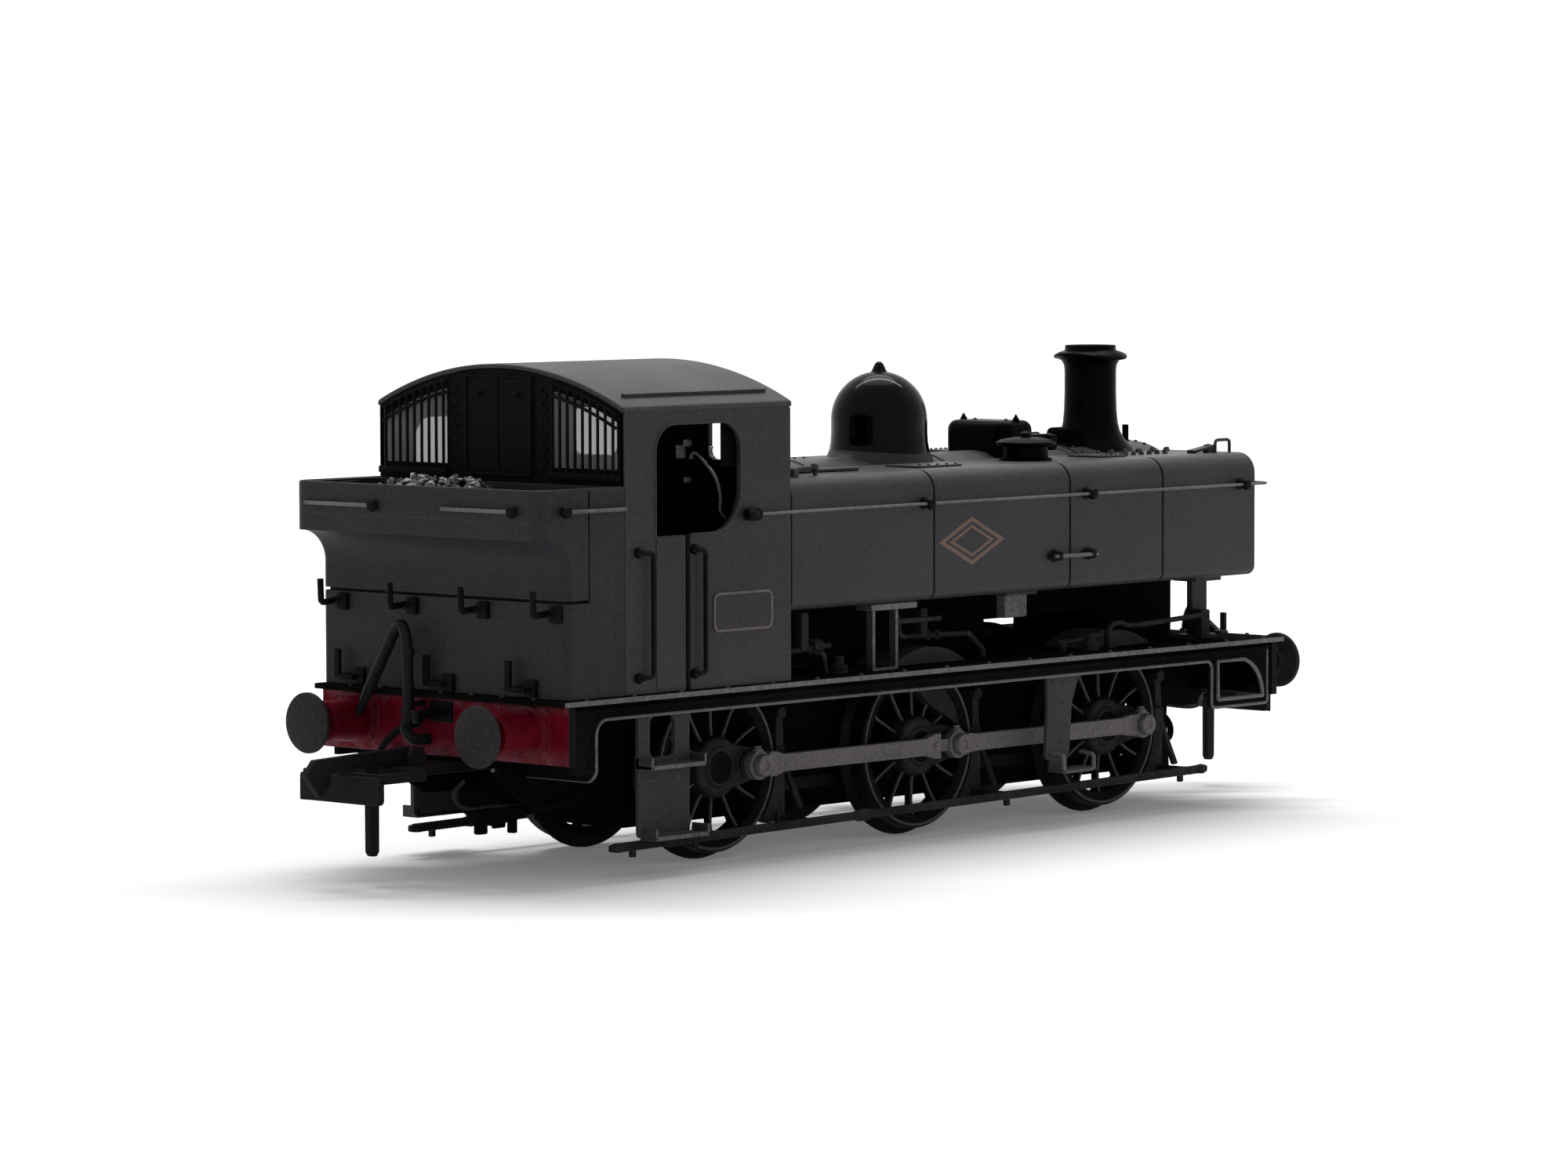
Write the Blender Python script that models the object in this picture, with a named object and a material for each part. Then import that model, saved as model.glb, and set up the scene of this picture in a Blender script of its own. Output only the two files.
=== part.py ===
"""Model steam locomotive: a six-coupled side-tank engine at 4 mm to the foot on 16.5 mm gauge track.

Metres, +Z up, +X towards the chimney end, +Y to the engine's left.  The origin is on the rail plane,
midway between the buffer faces and between the rails.
"""
import math

import bmesh
import bpy
from mathutils import Matrix, Vector

for old in list(bpy.data.objects):
    bpy.data.objects.remove(old, do_unlink=True)

MM = 0.001

# Clearances
FIT = 0.06 * MM
RUN = 0.08 * MM
SWEEP = 0.45 * MM
PLAY = 0.3 * MM

# Wheels and axles
TREAD_D = 16.5 * MM
FLANGE_H = 0.75 * MM
FLANGE_W = 0.8 * MM
TYRE_W = 2.8 * MM
RIM_T = 1.3 * MM
BACK_TO_BACK = 14.5 * MM
AXLE_D = 3.0 * MM
HUB_D = 4.8 * MM
HUB_PROUD = 0.55 * MM
SPOKES = 12
SPOKE_W = 0.85 * MM
SPOKE_T = 1.3 * MM
MIDDLE_AXLE_X = 3.05 * MM
AXLE_SPACING = 29.33 * MM
BALANCE_ARC = 26.0

# Cranks and coupling rods
CRANK_THROW = 4.2 * MM
CRANK_PIN_D = 1.4 * MM
CRANK_BOSS_D = 3.0 * MM
CRANK_HEAD_D = 2.2 * MM
CRANK_HEAD_T = 0.7 * MM
ROD_H = 1.7 * MM
ROD_T = 1.0 * MM
ROD_EYE_D = 2.9 * MM
RIGHT_CRANK_ANGLE = 0.0
LEFT_CRANK_ANGLE = 90.0

# Gear train
GEAR_MODULE = 0.4 * MM
GEAR_TEETH = 22
GEAR_FACE = 2.4 * MM
WORM_PITCH_D = 3.6 * MM
WORM_LENGTH = 5.2 * MM

# Motor
SHAFT_D = 1.5 * MM
MOTOR_LENGTH = 15.0 * MM
MOTOR_WIDTH = 10.0 * MM
MOTOR_HEIGHT = 7.6 * MM
MOTOR_FLAT = 5.0 * MM
MOTOR_GAP = 2.4 * MM
FLYWHEEL_D = 7.2 * MM
FLYWHEEL_T = 3.2 * MM
FLYWHEEL_GAP = 0.8 * MM

# Chassis
FRAME_W = 12.6 * MM
FRAME_L = 100.0 * MM
FRAME_SETBACK = 2.2 * MM
FRAME_BOTTOM = 5.3 * MM
FRAME_END_BOTTOM = 11.0 * MM
FRAME_STEP_REAR = 7.5 * MM
FRAME_STEP_FRONT = 2.4 * MM
KEEPER_T = 1.7 * MM
KEEPER_W = 12.0 * MM
PICKUP_T = 0.25 * MM
PICKUP_H = 1.2 * MM
PICKUP_Z = 6.1 * MM

# Running plate
PLATE_TOP = 17.4 * MM
PLATE_T = 0.5 * MM
PLATE_W = 34.0 * MM
PLATE_OVERHANG = 0.8 * MM
VALANCE_T = 0.6 * MM
VALANCE_INSET = 1.0 * MM
VALANCE_DEPTH = 1.5 * MM
END_DROP = 6.4 * MM
END_DROP_L = 4.6 * MM
FRONT_DROP_L = 9.4 * MM
SPLASHER_WALL = 0.55 * MM
SPLASHER_PROUD = 1.6 * MM

# Steps
STEP_T = 0.45 * MM
STEP_TREAD = 2.2 * MM
CAB_STEP_X = -39.2 * MM
CAB_STEP_W = 6.9 * MM
CAB_STEP_UPPER_Z = 10.3 * MM
CAB_STEP_LOWER_Z = 3.6 * MM
FRONT_STEP_X = 19.6 * MM
FRONT_STEP_W = 5.2 * MM
FRONT_STEP_Z = 5.6 * MM

# Buffer beams and buffers
BUFFER_REACH = 7.25 * MM
BEAM_T = 0.9 * MM
BEAM_W = 33.1 * MM
BEAM_H = 5.5 * MM
BUFFER_SPACING = 22.8 * MM
BUFFER_Z = 14.3 * MM
BUFFER_HEAD_D = 5.8 * MM
BUFFER_HEAD_T = 0.75 * MM
BUFFER_SHANK_D = 2.0 * MM
BUFFER_TRAVEL = 1.2 * MM
BUFFER_GRIP = 2.6 * MM
STOCK_BASE_D = 5.0 * MM
STOCK_ROOT_D = 4.4 * MM
STOCK_END_D = 3.5 * MM
STOCK_BASE_T = 0.5 * MM

# Cab
CAB_REAR_X = -45.45 * MM
CAB_FRONT_X = -22.6 * MM
CAB_W = 32.84 * MM
CAB_WALL = 0.6 * MM
ROOF_TOP = 48.1 * MM
ROOF_R = 37.7 * MM
ROOF_T = 0.5 * MM
ROOF_OVERHANG = 0.4 * MM
OPENING_REAR_X = -41.36 * MM
OPENING_FRONT_X = -29.6 * MM
OPENING_BOTTOM = 32.1 * MM
OPENING_TOP = 42.6 * MM
OPENING_TOP_R = 2.6 * MM
OPENING_FRONT_R = 4.2 * MM
WINDOW_IN = 7.14 * MM
WINDOW_OUT = 15.1 * MM
WINDOW_BOTTOM = 38.45 * MM
WINDOW_BELOW_ROOF = 1.3 * MM
FRONT_WINDOW_IN = 6.2 * MM
FRONT_WINDOW_OUT = 12.4 * MM
FRONT_WINDOW_TOP = 43.2 * MM
BACKHEAD_INSET = 0.25 * MM
BACKHEAD_L = 5.2 * MM
BACKHEAD_TOP = 35.5 * MM

# Bunker
BUNKER_PROUD = 0.04 * MM
BUNKER_FLARE = 3.73 * MM
BUNKER_TOP = 36.9 * MM
FLARE_LOW = 28.9 * MM
FLARE_HIGH = 32.3 * MM
BUNKER_WALL = 0.8 * MM
BUNKER_CORNER_R = 1.4 * MM
COAL_FLOOR = 31.0 * MM
COAL_HEAP = 0.8 * MM

# Boiler, smokebox and tanks
BOILER_R = 8.2 * MM
BOILER_Z = 29.4 * MM
SMOKEBOX_R = 8.4 * MM
SMOKEBOX_L = 13.6 * MM
SMOKEBOX_SETBACK = 0.4 * MM
SADDLE_W = 12.0 * MM
SADDLE_L = 12.0 * MM
FIREBOX_L = 16.0 * MM
MOTOR_COVER_L = 24.5 * MM
FIREBOX_INSET = 0.1 * MM
DOOR_R = 7.0 * MM
DOOR_T = 1.1 * MM
TANK_SIDE_Y = 16.2 * MM
TANK_BOTTOM = 24.1 * MM
TANK_TOP = 36.9 * MM
TANK_FRONT_X = 49.8 * MM
TANK_TOP_R = 2.1 * MM
TANK_BOTTOM_R = 1.0 * MM
TANK_GAP = 0.25 * MM

# Boiler mountings
CHIMNEY_SETBACK = 7.15 * MM
CHIMNEY_TOP = 48.06 * MM
CHIMNEY_STEM_D = 5.5 * MM
CHIMNEY_LIP_D = 7.76 * MM
CHIMNEY_BASE_D = 8.6 * MM
CHIMNEY_BORE_D = 3.9 * MM
CHIMNEY_BORE_DEPTH = 5.0 * MM
DOME_X = 8.65 * MM
DOME_D = 9.8 * MM
DOME_TOP = 46.1 * MM
DOME_BASE_D = 11.6 * MM
VALVE_X = 25.9 * MM
VALVE_L = 5.4 * MM
VALVE_W = 9.6 * MM
VALVE_TOP = 40.65 * MM
VALVE_R = 1.5 * MM
FILLER_X = 21.0 * MM
FILLER_Y = 9.0 * MM
FILLER_D = 4.2 * MM
FILLER_LID_D = 5.6 * MM
FILLER_H = 2.4 * MM

# Handrails
RAIL_D = 0.55 * MM
RAIL_STANDOFF = 0.7 * MM
RAIL_Z = 33.7 * MM
RAIL_REAR_X = -28.1 * MM
RAIL_PROUD = 1.6 * MM
RAIL_RETURN = 4.0 * MM
KNOB_D = 0.9 * MM
KNOB_SPACING = 25.0 * MM
KNOB_SETBACK = 2.8 * MM

# Brake gear
BRAKE_ROD_H = 0.9 * MM
BRAKE_ROD_T = 0.6 * MM
BRAKE_ROD_REAR_Z = 2.95 * MM
BRAKE_ROD_RISE = 0.95 * MM
BRAKE_ROD_REAR = 11.0 * MM
BRAKE_ROD_FRONT = 12.5 * MM
BRAKE_BLOCK_T = 1.5 * MM
BRAKE_HANGER_W = 1.0 * MM
BRAKE_HANGER_T = 0.8 * MM
BRAKE_PIVOT_Z = 13.6 * MM
BRAKE_GAP = 0.4 * MM

# Couplings
COUPLING_SETBACK = 5.0 * MM
COUPLING_PIN_D = 1.6 * MM
COUPLING_HEAD_D = 2.8 * MM
COUPLING_HEAD_T = 0.5 * MM
COUPLING_PLATE_T = 1.0 * MM
COUPLING_SHANK_W = 3.6 * MM
COUPLING_EYE_D = 4.4 * MM
BAR_REACH = 13.5 * MM
BAR_T = 0.8 * MM
BAR_W = 10.6 * MM
BAR_H = 2.6 * MM
BAR_TOP = 10.6 * MM
LOOP_L = 4.8 * MM
LOOP_ARM = 0.6 * MM
HOOK_STANDOFF = 4.4 * MM
HOOK_W = 0.8 * MM
HOOK_H = 0.8 * MM
HOOK_REACH = 4.4 * MM
HOOK_NOSE = 2.4 * MM
HOOK_EAR_T = 0.7 * MM
HOOK_PIN_D = 0.8 * MM
DROPPER_SETBACK = 4.2 * MM
DROPPER_BOTTOM = 2.7 * MM
DROPPER_W = 1.3 * MM

# Tank supports on the running plate
SUPPORT_SETBACK = 3.05 * MM
SUPPORT_L = 2.5 * MM
SUPPORT_T = 0.8 * MM
SUPPORT_Y = 10.8 * MM
BRACKET_SETBACK = 9.75 * MM
BRACKET_L = 3.75 * MM
BRACKET_BAR = 0.7 * MM
BRACKET_Y = 14.0 * MM

# Vacuum pipes
HOSE_D = 1.1 * MM
HOSE_Y = 2.6 * MM
HOSE_STANDOFF = 2.0 * MM
HOSE_TOP_REAR = 23.8 * MM
HOSE_TOP_FRONT = 19.8 * MM
HOSE_END_Y = 9.2 * MM
HOSE_END_Z = 15.4 * MM
HOSE_FOOT_Z = 13.2 * MM

SEGS = 24
ROOF_SEGS = 16
PANE_SEGS = 6
FLARE_SEGS = 6
COAL_SEGS_LONG = 6
COAL_SEGS_WIDE = 16
THREAD_SEGS = 12

# Places that follow from the sizes above
AXLE_Z = TREAD_D / 2 + FLANGE_H
AXLES = {
    "rear": MIDDLE_AXLE_X - AXLE_SPACING,
    "middle": MIDDLE_AXLE_X,
    "front": MIDDLE_AXLE_X + AXLE_SPACING,
}
SIDES = {"right": -1.0, "left": 1.0}
ENDS = {"rear": -1.0, "front": 1.0}
CRANKS = {"right": RIGHT_CRANK_ANGLE, "left": LEFT_CRANK_ANGLE}
WHEEL_FACE = BACK_TO_BACK / 2 + TYRE_W
BOSS_FACE = WHEEL_FACE + HUB_PROUD + PLAY
ROD_IN = BOSS_FACE + RUN
ROD_OUT = ROD_IN + ROD_T
GEAR_R = GEAR_MODULE * GEAR_TEETH / 2
WORM_Z = AXLE_Z + GEAR_R + WORM_PITCH_D / 2
PITCH = math.pi * GEAR_MODULE
PLATE_UNDER = PLATE_TOP - PLATE_T
FRAME_TOP = PLATE_UNDER - FIT
BEAM_FACE_X = FRAME_L / 2 + FRAME_SETBACK + BEAM_T
BUFFER_FACE_X = BEAM_FACE_X + BUFFER_REACH
PLATE_X = BEAM_FACE_X + PLATE_OVERHANG
COUPLING_PIVOT_X = FRAME_L / 2 - COUPLING_SETBACK
COUPLING_EYE_X = COUPLING_PIVOT_X - COUPLING_EYE_D / 2
BUNKER_REAR_X = -BEAM_FACE_X - BUNKER_PROUD
BAR_X = BEAM_FACE_X + BAR_REACH
HOOK_PIVOT_X = BEAM_FACE_X + HOOK_STANDOFF
DROPPER_X = BAR_X - DROPPER_SETBACK
VALANCE_OUT = PLATE_W / 2 - VALANCE_INSET
VALANCE_IN = VALANCE_OUT - VALANCE_T
SPLASHER_R = TREAD_D / 2 + FLANGE_H + SWEEP + SPLASHER_WALL
SPLASHER_IN = BACK_TO_BACK / 2 - SWEEP - SPLASHER_WALL
BAY_W = MOTOR_WIDTH + 2 * PLAY
MOTOR_FRONT_X = MIDDLE_AXLE_X - WORM_LENGTH / 2 - MOTOR_GAP
MOTOR_REAR_X = MOTOR_FRONT_X - MOTOR_LENGTH
FLY_FRONT_X = MOTOR_REAR_X - FLYWHEEL_GAP
FLY_REAR_X = FLY_FRONT_X - FLYWHEEL_T
SHAFT_FRONT_X = MIDDLE_AXLE_X + WORM_LENGTH / 2 + PLAY
BAY_REAR_X = FLY_REAR_X - 2 * PLAY
BAY_FRONT_X = SHAFT_FRONT_X + 2 * PLAY
BAY_FLOOR = WORM_Z - MOTOR_HEIGHT / 2 - FIT
KEEPER_TOP = FRAME_BOTTOM - FIT
KEEPER_BOTTOM = KEEPER_TOP - KEEPER_T
GEAR_TIP = GEAR_R + GEAR_MODULE
WORM_TIP = WORM_PITCH_D / 2 + GEAR_MODULE
WORM_ROOT = WORM_PITCH_D / 2 - 1.25 * GEAR_MODULE
BEAM_TOP = PLATE_UNDER - FIT
BEAM_BOTTOM = BEAM_TOP - BEAM_H
STOCK_END_X = BUFFER_FACE_X - BUFFER_HEAD_T - BUFFER_TRAVEL - PLAY
BODY_BASE = PLATE_TOP + FIT
SMOKEBOX_FRONT_X = TANK_FRONT_X - SMOKEBOX_SETBACK
CHIMNEY_X = SMOKEBOX_FRONT_X - CHIMNEY_SETBACK
SUPPORT_X = TANK_FRONT_X - SUPPORT_SETBACK
BRACKET_X = MIDDLE_AXLE_X - BRACKET_SETBACK
KNOBS_X = (RAIL_REAR_X, RAIL_REAR_X + KNOB_SPACING, RAIL_REAR_X + 2 * KNOB_SPACING,
           TANK_FRONT_X - KNOB_SETBACK)
BOILER_TOP = BOILER_Z + BOILER_R
TANK_ARC_R = SMOKEBOX_R + TANK_GAP
TANK_INNER_Y = math.sqrt(TANK_ARC_R ** 2 - (TANK_TOP - BOILER_Z) ** 2)
BAY_TOP = WORM_Z + max(MOTOR_HEIGHT, FLYWHEEL_D, 2 * WORM_TIP) / 2 + PLAY


def make_material(name, colour, roughness, metallic):
    mat = bpy.data.materials.new(name)
    mat.use_nodes = True
    shader = mat.node_tree.nodes["Principled BSDF"]
    shader.inputs["Base Color"].default_value = (*colour, 1.0)
    shader.inputs["Roughness"].default_value = roughness
    shader.inputs["Metallic"].default_value = metallic
    return mat


BODY_BLACK = (0.035, 0.033, 0.036)
FRAME_BLACK = (0.022, 0.021, 0.022)
GLOSS_BLACK = (0.02, 0.019, 0.02)
STEEL = (0.20, 0.19, 0.185)
CRIMSON = (0.16, 0.035, 0.04)
COAL = (0.03, 0.03, 0.033)
BRASS = (0.6, 0.42, 0.16)


def put(name, bm, colour, roughness=0.6, metallic=0.0, origin=(0, 0, 0), parent=None):
    """Make the named object from a mesh given in world coordinates, with its origin where it turns."""
    shift = Vector(origin)
    bmesh.ops.translate(bm, verts=bm.verts[:], vec=-shift)
    bmesh.ops.recalc_face_normals(bm, faces=bm.faces[:])
    mesh = bpy.data.meshes.new(name)
    bm.to_mesh(mesh)
    bm.free()
    mesh.shade_smooth()
    mesh.set_sharp_from_angle(angle=math.radians(32))
    obj = bpy.data.objects.new(name, mesh)
    bpy.context.scene.collection.objects.link(obj)
    obj.data.materials.append(make_material(name, colour, roughness, metallic))
    obj.location = shift
    if parent is not None:
        obj.parent = parent
        obj.location = shift - parent.location
    return obj


def empty(name, place):
    obj = bpy.data.objects.new(name, None)
    obj.empty_display_size = 0.004
    bpy.context.scene.collection.objects.link(obj)
    obj.location = Vector(place)
    return obj


def boolean(target, bm, operation):
    """Cut or join a shape, given in world coordinates, on the target object."""
    name = f"{target.name}_{operation.lower()}_{len(target.modifiers)}"
    bmesh.ops.recalc_face_normals(bm, faces=bm.faces[:])
    mesh = bpy.data.meshes.new(name)
    bm.to_mesh(mesh)
    bm.free()
    tool = bpy.data.objects.new(name, mesh)
    bpy.context.scene.collection.objects.link(tool)
    tool.hide_render = True
    tool.display_type = "WIRE"
    mod = target.modifiers.new(name, "BOOLEAN")
    mod.operation = operation
    mod.solver = "EXACT"
    mod.object = tool


def join(target, *shapes):
    for bm in shapes:
        boolean(target, bm, "UNION")


def cut(target, *shapes):
    for bm in shapes:
        boolean(target, bm, "DIFFERENCE")


def prism(points, axis, low, high):
    """A flat outline pushed along an axis: points are (y, z), (x, z) or (x, y) for axis x, y or z."""
    bm = bmesh.new()
    ring = []
    for a, b in points:
        place = {"x": (low, a, b), "y": (a, low, b), "z": (a, b, low)}[axis]
        ring.append(bm.verts.new(place))
    face = bm.faces.new(ring)
    grown = bmesh.ops.extrude_face_region(bm, geom=[face])
    moved = [item for item in grown["geom"] if isinstance(item, bmesh.types.BMVert)]
    step = high - low
    push = {"x": (step, 0, 0), "y": (0, step, 0), "z": (0, 0, step)}[axis]
    bmesh.ops.translate(bm, verts=moved, vec=push)
    bmesh.ops.recalc_face_normals(bm, faces=bm.faces[:])
    return bm


def box(x0, x1, y0, y1, z0, z1):
    return prism([(x0, y0), (x1, y0), (x1, y1), (x0, y1)], "z", z0, z1)


def turned(profile, axis, centre=(0, 0, 0), segs=SEGS):
    """A turned solid: profile is (radius, height along the axis); a ring when no radius is zero."""
    bm = bmesh.new()
    verts = [bm.verts.new((max(r, 0.0), 0.0, h)) for r, h in profile]
    edges = [bm.edges.new(pair) for pair in zip(verts, verts[1:])]
    if min(r for r, h in profile) > 0:
        edges.append(bm.edges.new((verts[-1], verts[0])))
    bmesh.ops.spin(bm, geom=verts + edges, cent=(0, 0, 0), axis=(0, 0, 1), angle=math.tau,
                   steps=segs, use_merge=True)
    bmesh.ops.remove_doubles(bm, verts=bm.verts[:], dist=1e-7)
    bmesh.ops.recalc_face_normals(bm, faces=bm.faces[:])
    turn = {
        "z": Matrix.Identity(3),
        "x": Matrix(((0, 0, 1), (1, 0, 0), (0, 1, 0))),
        "y": Matrix(((0, 1, 0), (0, 0, 1), (1, 0, 0))),
    }[axis]
    bmesh.ops.transform(bm, matrix=turn.to_4x4(), verts=bm.verts[:])
    bmesh.ops.translate(bm, verts=bm.verts[:], vec=Vector(centre))
    return bm


def rod(axis, centre, diameter, low, high, segs=SEGS):
    """A plain round bar along an axis, from low to high along it."""
    r = diameter / 2
    return turned([(0, low), (r, low), (r, high), (0, high)], axis, centre, segs)


def arc(cx, cy, r, start, end, steps):
    """Points on an arc, angles in degrees."""
    points = []
    for i in range(steps + 1):
        a = math.radians(start + (end - start) * i / steps)
        points.append((cx + r * math.cos(a), cy + r * math.sin(a)))
    return points


def tube(points, diameter, sides=6):
    """A bent round bar through the given points, with flat ends."""
    bm = bmesh.new()
    path = [Vector(p) for p in points]
    rings = []
    side = None
    for i, p in enumerate(path):
        before = path[max(i - 1, 0)]
        after = path[min(i + 1, len(path) - 1)]
        along = (after - before).normalized()
        if side is None:
            side = along.orthogonal().normalized()
        side = (side - along * side.dot(along)).normalized()
        up = along.cross(side)
        ring = []
        for k in range(sides):
            a = math.tau * k / sides
            ring.append(bm.verts.new(p + (side * math.cos(a) + up * math.sin(a)) * diameter / 2))
        rings.append(ring)
    for one, two in zip(rings, rings[1:]):
        for k in range(sides):
            bm.faces.new((one[k], one[(k + 1) % sides], two[(k + 1) % sides], two[k]))
    bm.faces.new(rings[0][::-1])
    bm.faces.new(rings[-1])
    return bm


def smooth_path(points, steps):
    """Points on a smooth curve through the given ones."""
    path = [Vector(p) for p in points]
    path = [2 * path[0] - path[1]] + path + [2 * path[-1] - path[-2]]
    out = []
    for a, b, c, d in zip(path, path[1:], path[2:], path[3:]):
        for i in range(steps):
            t = i / steps
            out.append(0.5 * (2 * b + (c - a) * t + (2 * a - 5 * b + 4 * c - d) * t * t
                              + (3 * b - a - 3 * c + d) * t ** 3))
    out.append(path[-2])
    return out


def roof_z(y, below):
    """Height of the roof's curve at a distance from the centre line, lowered by an amount."""
    r = ROOF_R - below
    return ROOF_TOP - ROOF_R + math.sqrt(r * r - y * y)


# Chassis block with slots for the axles and a bay for the motor
def build_chassis():
    half = FRAME_L / 2
    rear = FRAME_STEP_REAR - COUPLING_EYE_X
    front = COUPLING_EYE_X - FRAME_STEP_FRONT
    outline = [
        (-half, FRAME_END_BOTTOM), (rear, FRAME_END_BOTTOM), (rear, FRAME_BOTTOM),
        (front, FRAME_BOTTOM), (front, FRAME_END_BOTTOM), (half, FRAME_END_BOTTOM),
        (half, FRAME_TOP), (-half, FRAME_TOP),
    ]
    block = put("chassis_block", prism(outline, "y", -FRAME_W / 2, FRAME_W / 2), FRAME_BLACK, 0.55, 0.3)
    deep = FRAME_BOTTOM - PLAY
    for x in AXLES.values():
        r = AXLE_D / 2 + RUN
        slot = arc(x, AXLE_Z, r, 0, 180, 10) + [(x - r, deep), (x + r, deep)]
        cut(block, prism(slot, "y", -FRAME_W, FRAME_W))
    cut(block, box(BAY_REAR_X, BAY_FRONT_X, -BAY_W / 2, BAY_W / 2, BAY_FLOOR, FRAME_TOP + PLAY))
    room = GEAR_TIP + PLAY
    wide = GEAR_FACE / 2 + PLAY
    cut(block, box(MIDDLE_AXLE_X - room, MIDDLE_AXLE_X + room, -wide, wide, deep, AXLE_Z + room))
    for end in ENDS.values():
        x = end * COUPLING_PIVOT_X
        cut(block, rod("z", (x, 0, 0), COUPLING_PIN_D + 2 * FIT, FRAME_END_BOTTOM - PLAY,
                       FRAME_END_BOTTOM + 2 * COUPLING_PIN_D, 16))
    return rear, front


def build_keeper(rear, front):
    y = KEEPER_W / 2
    plate = put("keeper_plate", box(rear + PLAY, front - PLAY, -y, y, KEEPER_BOTTOM, KEEPER_TOP),
                FRAME_BLACK, 0.6)
    room = GEAR_TIP + PLAY
    wide = GEAR_FACE / 2 + PLAY
    pocket = prism(arc(MIDDLE_AXLE_X, AXLE_Z, room, 180, 360, 16), "y", -wide, wide)
    cut(plate, pocket)
    for name, side in SIDES.items():
        near = side * (FRAME_W / 2 + FIT)
        far = side * (FRAME_W / 2 + FIT + PICKUP_T)
        low = PICKUP_Z - PICKUP_H / 2
        put(f"pickup_strip_{name}",
            box(AXLES["rear"] - HUB_D / 2, AXLES["front"] + HUB_D / 2, min(near, far), max(near, far),
                low, low + PICKUP_H), BRASS, 0.35, 1.0)


# Wheel sets: an axle, two spoked wheels and two crank pins on each, and the gear on the middle axle
def wheel_profile(side):
    back = BACK_TO_BACK / 2
    tread = TREAD_D / 2
    mid = back + TYRE_W / 2
    bore = AXLE_D / 2 + FIT
    hub = HUB_D / 2
    rim = tread - RIM_T
    points = [
        (bore, back), (hub, back), (hub, mid - SPOKE_T / 2), (rim, mid - SPOKE_T / 2),
        (rim, back), (tread + FLANGE_H * 0.6, back), (tread + FLANGE_H, back + FLANGE_W * 0.4),
        (tread, back + FLANGE_W), (tread, WHEEL_FACE), (rim, WHEEL_FACE), (rim, mid + SPOKE_T / 2),
        (hub, mid + SPOKE_T / 2), (hub, WHEEL_FACE + HUB_PROUD), (bore, WHEEL_FACE + HUB_PROUD),
    ]
    return [(r, side * h) for r, h in points]


def window(x, angle):
    """The outline of one gap between two spokes."""
    inner = HUB_D / 2 + PLAY
    outer = TREAD_D / 2 - RIM_T - FIT
    half = math.pi / SPOKES
    points = []
    for r, count in ((inner, 2), (outer, 3)):
        spread = half - math.asin(SPOKE_W / 2 / r)
        row = [angle - spread + 2 * spread * i / (count - 1) for i in range(count)]
        if r == outer:
            row.reverse()
        points += [(x + r * math.cos(a), AXLE_Z + r * math.sin(a)) for a in row]
    return points


def crank_place(axle_x, side):
    a = math.radians(CRANKS[side])
    return axle_x + CRANK_THROW * math.cos(a), AXLE_Z + CRANK_THROW * math.sin(a)


def build_wheel(set_name, x, name, side, parent):
    centre = (x, 0, AXLE_Z)
    wheel = put(f"wheel_{set_name}_{name}", turned(wheel_profile(side), "y", centre), STEEL, 0.5, 0.6,
                centre, parent)
    crank = math.radians(CRANKS[name])
    mid = BACK_TO_BACK / 2 + TYRE_W / 2
    gap_low = min(side * (mid - TYRE_W), side * (mid + TYRE_W))
    gap_high = max(side * (mid - TYRE_W), side * (mid + TYRE_W))
    windows = bmesh.new()
    for i in range(SPOKES):
        angle = crank + math.tau * (i + 0.5) / SPOKES
        shape = prism(window(x, angle), "y", gap_low, gap_high)
        mesh = bpy.data.meshes.new("window")
        shape.to_mesh(mesh)
        shape.free()
        windows.from_mesh(mesh)
        bpy.data.meshes.remove(mesh)
    cut(wheel, windows)
    px, pz = crank_place(x, name)
    r = CRANK_BOSS_D / 2
    web = arc(px, pz, r, CRANKS[name] - 90, CRANKS[name] + 90, 8)
    root = arc(x, AXLE_Z, HUB_D / 2 - PLAY, CRANKS[name] + 60, CRANKS[name] - 60, 2)
    near = side * (mid - SPOKE_T / 2 + PLAY)
    far = side * BOSS_FACE
    join(wheel, prism(web + root, "y", min(near, far), max(near, far)))
    deep = side * (mid - SPOKE_T / 2 + 2 * PLAY)
    out = side * (BOSS_FACE + PLAY)
    cut(wheel, rod("y", (px, 0, pz), CRANK_PIN_D + 2 * FIT, min(deep, out), max(deep, out), 12))
    if set_name == "middle":
        rim = TREAD_D / 2 - RIM_T + PLAY
        start = 90 - BALANCE_ARC * 1.9
        weight = arc(x, AXLE_Z, rim, start, start + 2 * BALANCE_ARC, 8)
        near = side * (mid - SPOKE_T / 2 + PLAY)
        far = side * (WHEEL_FACE - PLAY)
        join(wheel, prism(weight, "y", min(near, far), max(near, far)))
    pin_in = side * (mid - SPOKE_T / 2 + 2 * PLAY + FIT)
    head_in = side * (ROD_OUT + RUN)
    head_out = side * (ROD_OUT + RUN + CRANK_HEAD_T)
    r = CRANK_PIN_D / 2
    head = CRANK_HEAD_D / 2
    pin = [(0, pin_in), (r, pin_in), (r, head_in), (head, head_in), (head, head_out), (0, head_out)]
    put(f"crank_pin_{set_name}_{name}", turned(pin, "y", (px, 0, pz), 12), STEEL, 0.4, 0.9,
        (px, 0, pz), parent)


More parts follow.
